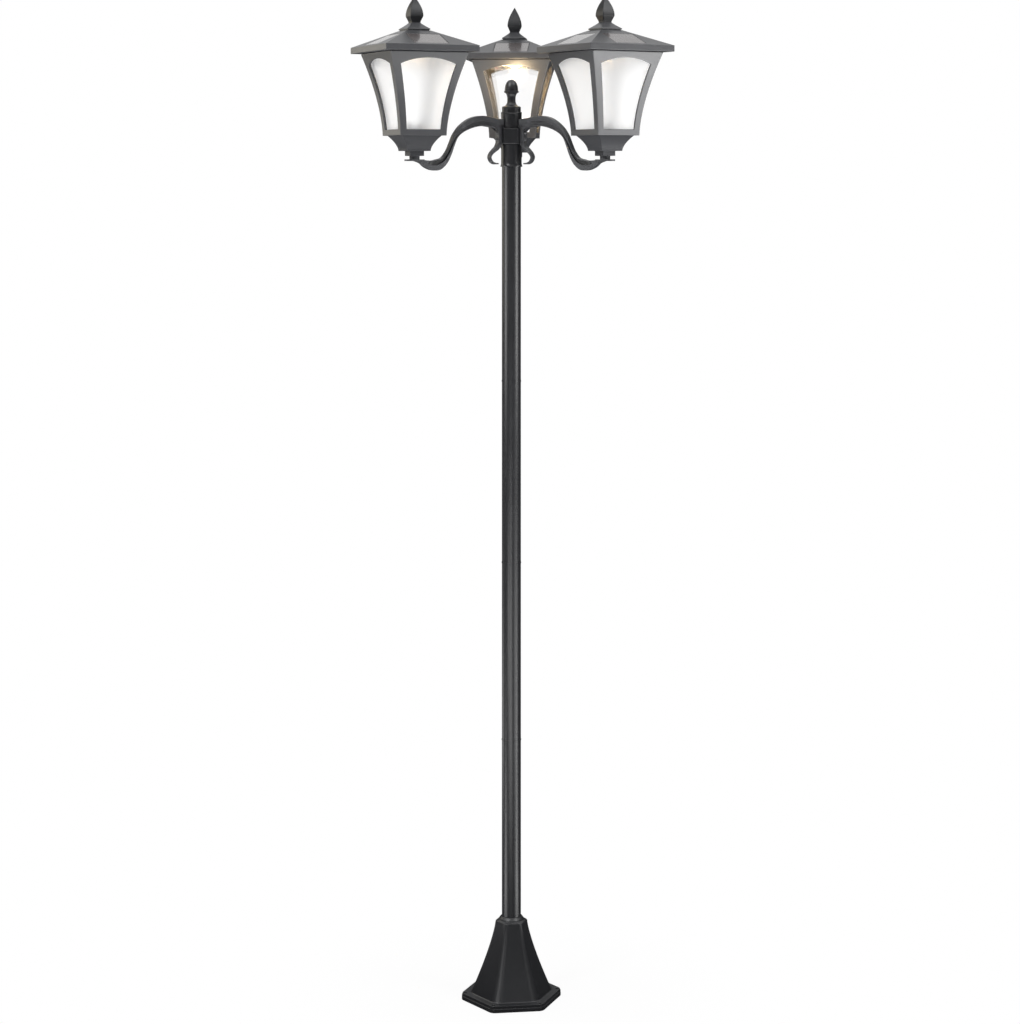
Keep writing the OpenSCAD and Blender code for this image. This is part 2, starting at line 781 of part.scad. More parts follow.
module panes() {
    outer = thinned(frame_outline(), frame_wall + pane_gap);
    slab = concat(outer, [for (p = reverse(outer)) [p[0] - pane_t, p[1]]]);
    for (a = [0 : 90 : 270])
        color([0.85, 0.9, 0.95, 0.4]) translate([0, 0, frame_z]) rotate([0, 0, a]) intersection() {
            rotate([90, 0, 90]) linear_extrude(frame_top_w, center = true) polygon(slab);
            rotate([90, 0, 180]) linear_extrude(frame_top_w) polygon(window_outline(pane_lap));
        }
}

// Roof

// Puts its children on each slope: x along the eave, y up the slope, z out of the roof
module on_slopes() {
    for (a = [0 : 90 : 270])
        rotate([0, 0, a]) translate([0, -eave_r, fascia_h]) rotate([roof_pitch, 0, 0]) children();
}

// A panel's place on its slope, grown by the given margin
module panel_plate(grow, h) {
    translate([-panel_w / 2 - grow, panel_low - grow, -panel_sink])
        cube([panel_w + 2 * grow, panel_l + 2 * grow, h]);
}

module roof() {
    drop = roof_wall / cos(roof_pitch);
    cavity_r = eave_r - roof_wall;
    skirt_r = frame_half(frame_h - skirt_h) - frame_wall - free_gap;
    color(GREY) difference() {
        union() {
            square_body([[eave_r, 0], [eave_r, fascia_h], [cap_r, fascia_h + roof_rise]]);
            translate([0, 0, -skirt_h]) square_block(2 * skirt_r, skirt_h);
        }
        square_body([[cavity_r, soffit_t], [cavity_r, fascia_h + roof_wall * tan(roof_pitch) - drop],
                     [cap_r, fascia_h + roof_rise - drop]]);
        translate([0, 0, -skirt_h - THROUGH]) square_block(2 * (skirt_r - skirt_t), skirt_h + THROUGH);
        translate([0, 0, -THROUGH]) square_block(housing_w + 2 * free_gap, soffit_t + 2 * THROUGH);
        on_slopes() panel_plate(panel_gap, 2 * panel_sink);
    }
}

module solar_panels() {
    color("#6d6468") on_slopes() panel_plate(0, panel_t);
}

module roof_cap() {
    top_r = finial_neck_w / 2;
    slope = [for (i = [0 : FLARE_STEPS])
        let (t = i / FLARE_STEPS)
        [top_r + (cap_r - top_r) * pow(1 - t, cap_bend),
         cap_step_h + cap_edge_h + (cap_h - cap_step_h - cap_edge_h) * t]];
    color(GREY) translate([0, 0, fascia_h + roof_rise])
        square_body(concat([[cap_r - cap_step_in, 0], [cap_r - cap_step_in, cap_step_h], [cap_r, cap_step_h]],
                           slope));
}

module finial() {
    neck_r = finial_neck_w / 2;
    bud = [for (a = quarter())
        [finial_tip_r + (finial_w / 2 - finial_tip_r) * cos(a),
         finial_waist_h + (finial_h - finial_waist_h) * a / 90]];
    color(GREY) translate([0, 0, fascia_h + roof_rise + cap_h])
        square_body(concat([[neck_r, 0], [neck_r, finial_neck_h]], bud));
}

// Lamp unit under the roof

function board_posts() =
    [for (x = [-1, 1]) for (y = [-1, 1])
        [x * (board_x / 2 - post_in), board_shift + y * (board_y / 2 - post_in)]];

module lamp_housing() {
    inner_w = housing_w - 2 * housing_wall;
    color("#e8e6df") difference() {
        union() {
            translate([0, 0, -housing_down]) square_block(housing_w, housing_down + housing_up);
            translate([0, 0, -flange_t]) square_block(housing_w + 2 * flange_reach, flange_t);
        }
        difference() {
            translate([0, 0, housing_floor_z]) square_block(inner_w, housing_up + housing_down);
            for (p = board_posts())
                translate([p[0], p[1], housing_floor_z]) cylinder(r = post_r, h = board_z - housing_floor_z);
        }
        translate([0, 0, -housing_down - THROUGH]) cylinder(r = lens_r, h = housing_wall + 2 * THROUGH);
        translate([-battery_door_x / 2, battery_y - battery_door_y / 2, -housing_down - THROUGH])
            cube([battery_door_x, battery_door_y, housing_wall + 2 * THROUGH]);
        translate([-(knob_x + switch_travel) / 2 - free_gap, switch_y - knob_y / 2 - free_gap,
                   -housing_down - THROUGH])
            cube([knob_x + switch_travel + 2 * free_gap, knob_y + 2 * free_gap, housing_wall + 2 * THROUGH]);
    }
}

module lens() {
    cap_base = lens_r - free_gap;
    ball_r = (cap_base * cap_base + lens_depth * lens_depth) / (2 * lens_depth);
    color("#ffe6b0") translate([0, 0, housing_floor_z]) difference() {
        union() {
            cylinder(r = lens_r + lens_flange, h = lens_t);
            intersection() {
                translate([0, 0, ball_r - lens_depth]) sphere(r = ball_r);
                translate([0, 0, -lens_depth - THROUGH]) cylinder(r = cap_base, h = lens_depth + THROUGH);
            }
        }
        intersection() {
            translate([0, 0, ball_r - lens_depth]) sphere(r = ball_r - lens_t);
            translate([0, 0, -lens_depth]) cylinder(r = cap_base - lens_t, h = lens_depth + lens_t + THROUGH);
        }
    }
}

module circuit_board() {
    switch_body_h = board_z - housing_floor_z - slide_gap * 2 - slider_t;
    color("#2f6b3f") {
        translate([-board_x / 2, board_shift - board_y / 2, board_z]) cube([board_x, board_y, board_t]);
        translate([0, 0, board_z - 1]) cylinder(r = 2 * led_r, h = 1);
        translate([0, 0, board_z - 1]) sphere(r = led_r);
        translate([-switch_body_x / 2, switch_y - switch_body_y / 2, board_z - switch_body_h])
            cube([switch_body_x, switch_body_y, switch_body_h]);
    }
}

module battery() {
    color("#3f8f4f")
        translate([-battery_len / 2, battery_y, housing_floor_z + battery_d / 2 + slide_gap])
        rotate([0, 90, 0]) {
            cylinder(d = battery_d, h = battery_len - 1);
            cylinder(d = battery_d * 0.38, h = battery_len);
        }
}

module battery_cover() {
    x = battery_door_x - 2 * free_gap;
    y = battery_door_y - 2 * free_gap;
    color("#e8e6df") translate([-x / 2, battery_y - y / 2, -housing_down]) {
        cube([x, y, housing_wall]);
        translate([-door_lip, -door_lip, -door_lip_t]) cube([x + 2 * door_lip, y + 2 * door_lip, door_lip_t]);
    }
}

module switch_knob() {
    at_rest = -switch_travel / 2;
    color("#d03a2c") translate([at_rest, switch_y, 0]) {
        translate([-knob_x / 2, -knob_y / 2, -housing_down - knob_out])
            cube([knob_x, knob_y, knob_out + housing_wall + slide_gap]);
        translate([-slider_x / 2, -slider_y / 2, housing_floor_z + slide_gap])
            cube([slider_x, slider_y, slider_t]);
    }
}

base();
pole_section(mouth_z - socket_depth, joint_1_z - joint_ring_h / 2);  // pole_section_1
pole_section(joint_1_z + joint_ring_h / 2, joint_2_z - joint_ring_h / 2);  // pole_section_2
pole_section(joint_2_z + joint_ring_h / 2, joint_3_z - joint_ring_h / 2);  // pole_section_3
pole_section(joint_3_z + joint_ring_h / 2, hub_z + hub_socket_depth);  // pole_section_4
pole_couplings();
hub();
hub_finial();
arm_screws();
for (i = [0 : 2]) {
    rotate([0, 0, ARM_ANGLES[i]]) arm();
    at_lantern(i) stud();
    at_lantern(i) thumb_nut();
    at_lantern(i) pan();
    at_lantern(i) frame();
    at_lantern(i) panes();
    at_roof(i) roof();
    at_roof(i) solar_panels();
    at_roof(i) roof_cap();
    at_roof(i) finial();
    at_roof(i) lamp_housing();
    at_roof(i) lens();
    at_roof(i) circuit_board();
    at_roof(i) battery();
    at_roof(i) battery_cover();
    at_roof(i) switch_knob();
}
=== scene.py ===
"""Dresses the solar garden lamp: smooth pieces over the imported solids, their finishes, and the studio.

Metres, +Z up, the origin on the pole's axis at the ground. Profiles and outlines are worked out in
millimetres, as such parts are drawn, and turned into metres when they become a mesh.
"""

import math

import bmesh
import bpy
import numpy as np
from bpy.props import FloatProperty, FloatVectorProperty, PointerProperty
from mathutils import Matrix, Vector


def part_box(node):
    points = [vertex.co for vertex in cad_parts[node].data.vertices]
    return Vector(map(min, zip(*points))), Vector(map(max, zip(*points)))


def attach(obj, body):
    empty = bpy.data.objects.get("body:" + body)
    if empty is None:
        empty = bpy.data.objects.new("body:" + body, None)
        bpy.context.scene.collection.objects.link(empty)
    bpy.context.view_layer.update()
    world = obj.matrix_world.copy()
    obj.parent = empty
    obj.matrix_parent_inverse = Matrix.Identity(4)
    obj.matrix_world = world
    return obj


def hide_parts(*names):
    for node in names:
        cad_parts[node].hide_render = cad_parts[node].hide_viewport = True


bl_info = {
    "name": "Solar Garden Lamp",
    "version": (1, 0, 0),
    "blender": (4, 5, 0),
    "location": "View3D > Sidebar > Garden Lamp",
    "description": "Builds the visible pieces and the studio of a three-lantern solar lamp",
    "category": "Object",
}

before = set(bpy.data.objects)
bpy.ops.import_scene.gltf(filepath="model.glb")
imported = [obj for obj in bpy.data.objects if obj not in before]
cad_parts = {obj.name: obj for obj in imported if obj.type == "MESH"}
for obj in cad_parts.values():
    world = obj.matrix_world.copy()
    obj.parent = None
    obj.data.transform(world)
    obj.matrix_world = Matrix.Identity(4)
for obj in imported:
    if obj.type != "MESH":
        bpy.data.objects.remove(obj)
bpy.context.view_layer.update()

MM = 0.001
SIDES = ("left", "right", "back")
ARM_ANGLES = {"left": -150.0, "right": -30.0, "back": 90.0}
LANTERN_TURNS = {"left": -154.0, "right": -57.0, "back": 86.0}

# radii of the pole's seats, of the circle of ground holes and of a hole, and the base's turn in degrees
POLE_SEAT = 17.5
HOLE_CIRCLE = 84.0
GROUND_HOLE = 3.25
BASE_TURN = 9.5

# the photograph's camera: its focal length and the shift of its picture, in pixels of the photograph
PHOTO_WIDTH = 1020
FOCAL_PIXELS = 2348
SHIFT_PIXELS = (-1.4, -337)
SENSOR_MM = 36.0


def box_mm(node):
    """Lowest and highest corners of a CAD node, in millimetres."""
    low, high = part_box(node)
    return np.array(low) / MM, np.array(high) / MM


# heights of the solids that the pieces line up with, in millimetres
BAND_Z = float(np.mean([corner[2] for corner in box_mm("arm_screws")]))
HUB_Z = float(box_mm("hub")[0][2])
HUB_TOP = float(box_mm("hub")[1][2])
PAN_FOOT = float(box_mm("pan_back")[0][2])
FRAME_FOOT = float(box_mm("frame_back")[0][2])
FRAME_TOP = float(box_mm("frame_back")[1][2])
CAP_FOOT = float(box_mm("roof_cap_back")[0][2])
FINIAL_FOOT = float(box_mm("finial_back")[0][2])


# Shapes, as arrays of points


def filleted(profile, radii, steps=4):
    """An open profile with its bends rounded.

    Each bend becomes a quadratic curve. It starts one radius before the bend and ends one radius
    after it, and the bend is its control point. The two ends of the profile stay.
    """
    points = np.asarray(profile, float)
    radius = np.broadcast_to(np.asarray(radii, float), (len(points) - 2,))[:, None]
    bend = points[1:-1]
    back = points[:-2] - bend
    ahead = points[2:] - bend
    back_length = np.linalg.norm(back[:, :2], axis=1, keepdims=True)
    ahead_length = np.linalg.norm(ahead[:, :2], axis=1, keepdims=True)
    start = bend + back * np.minimum(radius, 0.45 * back_length) / back_length
    end = bend + ahead * np.minimum(radius, 0.45 * ahead_length) / ahead_length
    t = np.linspace(0, 1, steps + 1)[None, :, None]
    arcs = (1 - t) ** 2 * start[:, None] + 2 * t * (1 - t) * bend[:, None] + t**2 * end[:, None]
    return np.vstack([points[:1], arcs.reshape(-1, points.shape[1]), points[-1:]])


def rings(profile, sides, turn=0.0, steps=5):
    """Level rings of a body with flat sides and round corners.

    A profile row is the distance of the flats, the height and the radius of the corners. A corner's
    circle stands on the corner's own line, at (flat distance - radius) / cos(180 / sides) from the
    axis, and the ring runs round it from one flat's direction to the next one's.
    """
    profile = np.asarray(profile, float)
    flat, height = profile[:, 0, None, None], profile[:, 1, None, None]
    radius = np.minimum(profile[:, 2, None, None], flat)
    corner = math.radians(turn) + np.arange(sides)[None, :, None] * 2 * math.pi / sides
    swing = (np.linspace(-0.5, 0.5, steps + 1) * 2 * math.pi / sides)[None, None, :]
    centre = (flat - radius) / math.cos(math.pi / sides)
    x = centre * np.cos(corner) + radius * np.cos(corner + swing)
    y = centre * np.sin(corner) + radius * np.sin(corner + swing)
    z = height + 0 * x
    return np.stack([x, y, z], -1).reshape(len(profile), -1, 3)


def round_rings(profile, steps=72):
    """Rings of a turned body: each profile row is a radius and a height, swept round the axis."""
    profile = np.asarray(profile, float)
    angle = np.arange(steps) * 2 * math.pi / steps
    x = profile[:, 0, None] * np.cos(angle)
    y = profile[:, 0, None] * np.sin(angle)
    return np.stack([x, y, profile[:, 1, None] + 0 * x], -1)


def smooth_path(stations, steps=8):
    """A curve through stations, of position and thickness alike.

    Between two stations it is the cubic that passes through both and whose slope at each of them is
    half the step between that station's two neighbours.
    """
    s = np.asarray(stations, float)
    s = np.vstack([s[:1], s, s[-1:]])
    p, q, r, n = s[:-3, None], s[1:-2, None], s[2:-1, None], s[3:, None]
    t = (np.arange(steps) / steps)[None, :, None]
    curve = (2 * q + (r - p) * t + (2 * p - 5 * q + 4 * r - n) * t**2 + (3 * q - p - 3 * r + n) * t**3) / 2
    return np.vstack([curve.reshape(-1, s.shape[1]), s[-1:]])


def ramp(values, start, end):
    """0 before start, 1 after end, and 3 t^2 - 2 t^3 between them."""
    t = np.clip((np.asarray(values, float) - start) / (end - start), 0, 1)
    return t * t * (3 - 2 * t)


def swept_bar(path, width, edge, low_rim, high_rim, depth):
    """A bar of changing thickness that follows a flat curve, with a sunk panel in each side.

    At each point of the path the section is a round-edged rectangle, as thick as the path says along
    the curve's normal and as wide as the bar across it. Between the low and the high rim its sides
    sink by the depth at that point. The first and last rings close on their own middles. It gives
    the points and, for each, how deep it lies in the recess.
    """
    step = np.gradient(path[:, :2], axis=0)
    normal = np.stack([-step[:, 1], step[:, 0]], 1) / np.linalg.norm(step, axis=1, keepdims=True)
    half = path[:, 2] / 2
    e = np.minimum(edge, 0.5 * half)
    low = -half + np.minimum(low_rim, 1.2 * half)
    high = half - np.minimum(high_rim, 1.2 * half)
    low, high = np.minimum(low, high - 0.2), np.maximum(high, low + 0.2)
    wall = np.minimum(0.5, 0.25 * (high - low))
    w = width / 2 + 0 * half
    side = [
        (half, 0 * half),
        (half, w - e),
        (half - 0.3 * e, w - 0.3 * e),
        (half - e, w),
        (high, w),
        (high - wall, w - depth),
        ((low + high) / 2, w - depth),
        (low + wall, w - depth),
        (low, w),
        (e - half, w),
        (0.3 * e - half, w - 0.3 * e),
        (-half, w - e),
        (-half, 0 * half),
    ]
    across = np.stack([s[0] for s in side] + [s[0] for s in side[-2:0:-1]], 1)
    along = np.stack([s[1] for s in side] + [-s[1] for s in side[-2:0:-1]], 1)
    x = path[:, 0, None] + across * normal[:, 0, None]
    z = path[:, 1, None] + across * normal[:, 1, None]
    grid = np.stack([x, along, z], -1)
    grid = np.concatenate([0 * grid[:1] + grid[:1].mean(1, keepdims=True), grid,
                           0 * grid[-1:] + grid[-1:].mean(1, keepdims=True)])
    floor = np.zeros(across.shape)
    floor[:, [5, 6, 7, 17, 18, 19]] = depth[:, None]
    return grid, np.pad(floor, ((1, 1), (0, 0)))


def slab(outline, thickness, axis):
    """A plate: an outline repeated on both faces, each face closed on its middle.

    The outline lies in the plane across the given axis, and the plate is centred on that plane.
    """
    outline = np.asarray(outline, float)
    middle = 0 * outline + outline.mean(0)
    shift = np.array([-0.5, -0.5, 0.5, 0.5]) * thickness
    levels = [middle, outline, outline, middle]
    grid = np.zeros((4, len(outline), 3))
    plane = [k for k in range(3) if k != axis]
    for row, (level, offset) in enumerate(zip(levels, shift)):
        grid[row][:, plane] = level
        grid[row][:, axis] = offset
    return grid


def turned(points, degrees, centre=(0, 0, 0)):
    """Points turned about the vertical by an angle and then moved by the centre."""
    a = math.radians(degrees)
    matrix = np.array([[math.cos(a), -math.sin(a), 0], [math.sin(a), math.cos(a), 0], [0, 0, 1]])
    return np.asarray(points, float) @ matrix.T + np.asarray(centre, float)


def lantern_place(side):
    """The turn of a lantern and the point of its axis at the ground, in millimetres."""
    low, high = box_mm(f"stud_{side}")
    return LANTERN_TURNS[side], ((low[0] + high[0]) / 2, (low[1] + high[1]) / 2, 0)


def at_lantern(points, side, height=0.0):
    """Points of a lantern's own frame, lifted and carried to where that lantern stands."""
    degrees, centre = lantern_place(side)
    return turned(points, degrees, (centre[0], centre[1], height))


# Meshes and modifiers


def placed(name, data, place=(0, 0, 0)):
    """An object of a mesh, a light or a camera, in the scene at a place."""
    thing = bpy.data.objects.new(name, data)
    bpy.context.scene.collection.objects.link(thing)
    thing.location = place
    return thing


def make_piece(name, grids, material, body, replaces=(), bevel=0.0, angle=30.0, wall=0.0, sunk=None):
    """A finished piece from grids of points, each with rows joined to rows.

    A grid is an array of rows by columns by 3 and a flag that says whether its columns close round.
    Points that fall together are merged, so caps and seams close, and the faces are turned outwards.
    Sunk gives each point of the first grid its depth in a recess, as a share of the deepest one.
    """
    points, faces, start = [], [], 0
    for grid, closes in grids:
        rows, columns = grid.shape[:2]
        i = np.arange(rows - 1)[:, None]
        j = np.arange(columns if closes else columns - 1)[None, :]
        ahead = (j + 1) % columns
        this, following = i * columns, (i + 1) * columns
        quads = np.stack([this + j, this + ahead, following + ahead, following + j], -1)
        points.append(grid.reshape(-1, 3) * MM)
        faces.append(quads.reshape(-1, 4) + start)
        start += rows * columns
    mesh = bpy.data.meshes.new(name)
    mesh.from_pydata(np.vstack(points).tolist(), [], np.vstack(faces).tolist())
    if sunk is not None:
        depth = np.zeros(start, np.float32)
        depth[:sunk.size] = sunk.ravel()
        mesh.attributes.new("sunk", "FLOAT", "POINT").data.foreach_set("value", depth)
    work = bmesh.new()
    work.from_mesh(mesh)
    bmesh.ops.remove_doubles(work, verts=work.verts, dist=1e-6)
    bmesh.ops.dissolve_degenerate(work, edges=work.edges, dist=1e-7)
    bmesh.ops.recalc_face_normals(work, faces=work.faces)
    work.to_mesh(mesh)
    work.free()
    mesh.shade_smooth()
    mesh.materials.append(material)
    piece = placed(name, mesh)
    if wall:
        solid = piece.modifiers.new("Wall", "SOLIDIFY")
        solid.thickness = wall * MM
        solid.offset = -1
        solid.use_even_offset = True
    if bevel:
        soft = piece.modifiers.new("Soft edges", "BEVEL")
        soft.width = bevel * MM
        soft.segments = 2
        soft.limit_method = "ANGLE"
        soft.angle_limit = math.radians(angle)
        soft.use_clamp_overlap = True
    flat = piece.modifiers.new("Flat faces", "WEIGHTED_NORMAL")
    flat.weight = 60
    flat.keep_sharp = True
    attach(piece, body)
    if replaces:
        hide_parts(*replaces)
    return piece


# Node groups and materials


def new_group(name, inputs, outputs):
    """A shader node group with the given float inputs, each with its default, and its outputs."""
    tree = bpy.data.node_groups.new(name, "ShaderNodeTree")
    for label, default in inputs:
        socket = tree.interface.new_socket(label, in_out="INPUT", socket_type="NodeSocketFloat")
        socket.default_value = default
    for label, kind in outputs:
        tree.interface.new_socket(label, in_out="OUTPUT", socket_type=kind)
    return tree, tree.nodes.new("NodeGroupInput"), tree.nodes.new("NodeGroupOutput")


def feed(tree, value, socket):
    """Links a socket to another one, or sets its value."""
    if isinstance(value, bpy.types.NodeSocket):
        tree.links.new(value, socket)
    elif value is not None:
        socket.default_value = value


def math_node(tree, operation, a, b=None, clamp=False):
    """A Math node of two values or sockets; gives its output socket."""
    node = tree.nodes.new("ShaderNodeMath")
    node.operation = operation
    node.use_clamp = clamp
    for socket, value in zip(node.inputs, (a, b)):
        feed(tree, value, socket)
    return node.outputs[0]


def blend(tree, factor, a, b):
    """The value a where the factor is 0 and b where it is 1; gives its socket."""
    node = tree.nodes.new("ShaderNodeMix")
    for label, value in (("Factor", factor), ("A", a), ("B", b)):
        feed(tree, value, node.inputs[label])
    return node.outputs["Result"]


def remap(tree, value, low, high, start=0.0, end=1.0, smooth=False):
    """A value's range from start to end stretched to low to high, and held there; gives its socket."""
    node = tree.nodes.new("ShaderNodeMapRange")
    if smooth:
        node.interpolation_type = "SMOOTHSTEP"
    for label, limit in (("From Min", start), ("From Max", end), ("To Min", low), ("To Max", high)):
        feed(tree, limit, node.inputs[label])
    tree.links.new(value, node.inputs["Value"])
    return node.outputs["Result"]


def shaded(tree, colour, tone):
    """A colour times a tone that changes over the surface; gives its socket."""
    node = tree.nodes.new("ShaderNodeVectorMath")
    node.operation = "SCALE"
    node.inputs[0].default_value = colour[:3]
    tree.links.new(tone, node.inputs["Scale"])
    return node.outputs[0]


def noise_node(tree, scale, detail=3.0, rough=0.5):
    """A noise texture on object coordinates; gives its value socket."""
    node = tree.nodes.new("ShaderNodeTexNoise")
    node.inputs["Detail"].default_value = detail
    node.inputs["Roughness"].default_value = rough
    feed(tree, scale, node.inputs["Scale"])
    tree.links.new(tree.nodes.new("ShaderNodeTexCoord").outputs["Object"], node.inputs["Vector"])
    return node.outputs["Fac"]


def moulded_skin_group():
    """The skin of moulded or powder-coated pieces.

    Height is a fine noise for the orange-peel texture. Tone is a broad noise about 1 that shifts the
    colour, darker where dust and handling dull it. Sheen is a second broad noise for the roughness.
    """
    tree, source, sink = new_group(
        "Moulded Skin",
        [("Grain Scale", 900.0), ("Mottle", 0.12), ("Roughness", 0.4), ("Roughness Spread", 0.08)],
        [("Tone", "NodeSocketFloat"), ("Sheen", "NodeSocketFloat"), ("Height", "NodeSocketFloat")],
    )
    grain = noise_node(tree, source.outputs["Grain Scale"], 2.0)
    broad = noise_node(tree, 14.0, 4.0)
    cloud = noise_node(tree, 45.0, 3.0, rough=0.6)
    shares = math_node(tree, "MULTIPLY", broad, 0.6), math_node(tree, "MULTIPLY", cloud, 0.4)
    mixed = math_node(tree, "ADD", *shares)
    centred = math_node(tree, "SUBTRACT", mixed, 0.5)
    tone = math_node(tree, "ADD", math_node(tree, "MULTIPLY", centred, source.outputs["Mottle"]), 1.0)
    spread = math_node(tree, "MULTIPLY", centred, source.outputs["Roughness Spread"])
    sheen = math_node(tree, "ADD", spread, source.outputs["Roughness"], clamp=True)
    tree.links.new(tone, sink.inputs["Tone"])
    tree.links.new(sheen, sink.inputs["Sheen"])
    tree.links.new(grain, sink.inputs["Height"])
    return tree


def rubbed_edge_group():
    """A mask of the outer edges, where the coat is thin and rubbed lighter.

    It takes how far the surface stands out, widens it to a 0-to-1 band, and breaks it up with noise.
    """
    tree, source, sink = new_group(
        "Rubbed Edge", [("Start", 0.52), ("Full", 0.6), ("Strength", 0.5)], [("Mask", "NodeSocketFloat")]
    )
    geometry = tree.nodes.new("ShaderNodeNewGeometry")
    limits = source.outputs["Start"], source.outputs["Full"]
    band = remap(tree, geometry.outputs["Pointiness"], 0.0, 1.0, *limits)
    patches = math_node(tree, "ADD", noise_node(tree, 160.0, 3.0), 0.35, clamp=True)
    broken = math_node(tree, "MULTIPLY", band, patches)
    mask = math_node(tree, "MULTIPLY", broken, source.outputs["Strength"], clamp=True)
    tree.links.new(mask, sink.inputs["Mask"])
    return tree


def group_node(tree, group, **values):
    """A placed node group with its own input values; underscores in a name stand for spaces."""
    node = tree.nodes.new("ShaderNodeGroup")
    node.node_tree = group
    for label, value in values.items():
        node.inputs[label.replace("_", " ")].default_value = value
    return node


def new_material(name):
    """A material with its node tree and its shader."""
    material = bpy.data.materials.new(name)
    material.use_nodes = True
    return material, material.node_tree, material.node_tree.nodes["Principled BSDF"]


def coated(name, colour, edge_colour, roughness, groups, specular=0.4, grain=900.0, bump=0.02, mottle=0.3,
           rubbed=0.5, metallic=0.0, recess_shade=0.0):
    """A moulded or painted finish: mottled colour, lighter edges, fine grain.

    The groups are the skin's and the rubbed edge's. The recess shade is painted shade in a recess: it
    takes that share off the colour where the piece's own depth in a recess is full.
    """
    material, tree, shader = new_material(name)
    shader.inputs["Specular IOR Level"].default_value = specular
    shader.inputs["Metallic"].default_value = metallic
    surface = group_node(tree, groups[0], Grain_Scale=grain, Mottle=mottle, Roughness=roughness,
                         Roughness_Spread=0.15)
    edge = group_node(tree, groups[1], Strength=rubbed)
    tone = surface.outputs["Tone"]
    # painted shade: the colour is darkened where the piece lies deep in a recess, where shade falls
    if recess_shade:
        depth = tree.nodes.new("ShaderNodeAttribute")
        depth.attribute_name = "sunk"
        shade_share = math_node(tree, "MULTIPLY", depth.outputs["Fac"], recess_shade)
        tone = math_node(tree, "MULTIPLY", tone, math_node(tree, "SUBTRACT", 1.0, shade_share))
    mix = tree.nodes.new("ShaderNodeMix")
    mix.data_type = "RGBA"
    mix.inputs["B"].default_value = (*edge_colour[:3], 1)
    tree.links.new(edge.outputs["Mask"], mix.inputs["Factor"])
    tree.links.new(shaded(tree, colour, tone), mix.inputs["A"])
    tree.links.new(mix.outputs["Result"], shader.inputs["Base Color"])
    tree.links.new(surface.outputs["Sheen"], shader.inputs["Roughness"])
    peel = tree.nodes.new("ShaderNodeBump")
    peel.inputs["Strength"].default_value = bump
    peel.inputs["Distance"].default_value = 0.0005
    tree.links.new(surface.outputs["Height"], peel.inputs["Height"])
    tree.links.new(peel.outputs["Normal"], shader.inputs["Normal"])
    return material


def pane_plastic(name, haze, solid, glow):
    """The panes: clear or hazed plastic with faint dust in the colour.

    Haze is the roughness that blurs what stands behind. Solid is the share of the pane that bends and
    mirrors light; the rest lets it straight through. Glow is painted light: a faint light of the pane's
    own that makes a hazed pane look pale.
    """
    material, tree, shader = new_material(name)
    shader.inputs["Transmission Weight"].default_value = 1.0
    shader.inputs["IOR"].default_value = 1.4
    shader.inputs["Alpha"].default_value = solid
    # painted light: the pane glows on its own, though it is no lamp
    shader.inputs["Emission Strength"].default_value = glow
    tone = remap(tree, noise_node(tree, 20.0), 0.93, 1.0)
    colour = tree.nodes.new("ShaderNodeCombineColor")
    for channel in ("Red", "Green", "Blue"):
        tree.links.new(tone, colour.inputs[channel])
    for target in ("Base Color", "Emission Color"):
        tree.links.new(colour.outputs["Color"], shader.inputs[target])
    rough = remap(tree, noise_node(tree, 25.0, 2.0), haze, haze + 0.03)
    tree.links.new(rough, shader.inputs["Roughness"])
    return material


def solar_glass(colour):
    """The solar cells under glass: a mottled colour under a clear coat."""
    material, tree, shader = new_material("Solar Glass")
    shader.inputs["Coat Weight"].default_value = 1.0
    shader.inputs["Coat Roughness"].default_value = 0.06
    shader.inputs["Specular IOR Level"].default_value = 0.5
    tone = remap(tree, noise_node(tree, 25.0), 0.75, 1.3)
    tree.links.new(shaded(tree, colour, tone), shader.inputs["Base Color"])
    tree.links.new(remap(tree, noise_node(tree, 90.0), 0.22, 0.34), shader.inputs["Roughness"])
    return material


def glowing(name, colour, glow, strength):
    """A lit plastic: its own colour and its light, both a little uneven."""
    material, tree, shader = new_material(name)
    shader.inputs["Roughness"].default_value = 0.35
    shader.inputs["Emission Strength"].default_value = strength
    for base, target in ((colour, "Base Color"), (glow, "Emission Color")):
        tone = remap(tree, noise_node(tree, 80.0, 2.0), 0.85, 1.1)
        tree.links.new(shaded(tree, base, tone), shader.inputs[target])
    return material


# Settings


class GARDENLAMP_PG_post(bpy.types.PropertyGroup):
    """Sizes of the base, the hub and the arms, in millimetres."""

    flange_half: FloatProperty(name="Flange half width", description="From the axis to a flat of the flange",
                               default=80.75, min=70, max=95)
    foot_radius: FloatProperty(name="Foot radius",
                               description="Radius of the flared body's corners at the flange",
                               default=74.0, min=60, max=80)
    crown_radius: FloatProperty(name="Crown radius",
                                description="Radius of the flared body's corners at its top",
                                default=29.0, min=26, max=36)
    corner_radius: FloatProperty(name="Flange corners", description="Radius of the flange's rounded corners",
                                 default=13.0, min=6, max=20)
    flare_bend: FloatProperty(name="Flare bend", description="How late the body flares; 1 is a straight cone",
                              default=1.3, min=1, max=2)
    edge_soft: FloatProperty(name="Soft edge", description="Radius of the small edges of the mouldings",
                             default=0.8, min=0.2, max=2)
    arm_width: FloatProperty(name="Arm width", description="Width of an arm across its scroll",
                             default=13.0, min=10, max=16)
    arm_rim: FloatProperty(name="Arm rim", description="Width of the raised edge round an arm's recess",
                           default=1.8, min=1, max=3)
    arm_recess: FloatProperty(name="Arm recess", description="Depth of the recess along an arm's side",
                              default=1.6, min=0.4, max=2)
    arm_crescent: FloatProperty(name="Crescent depth", description="Depth of the recess in the lower bend",
                                default=3.6, min=1, max=4.5)


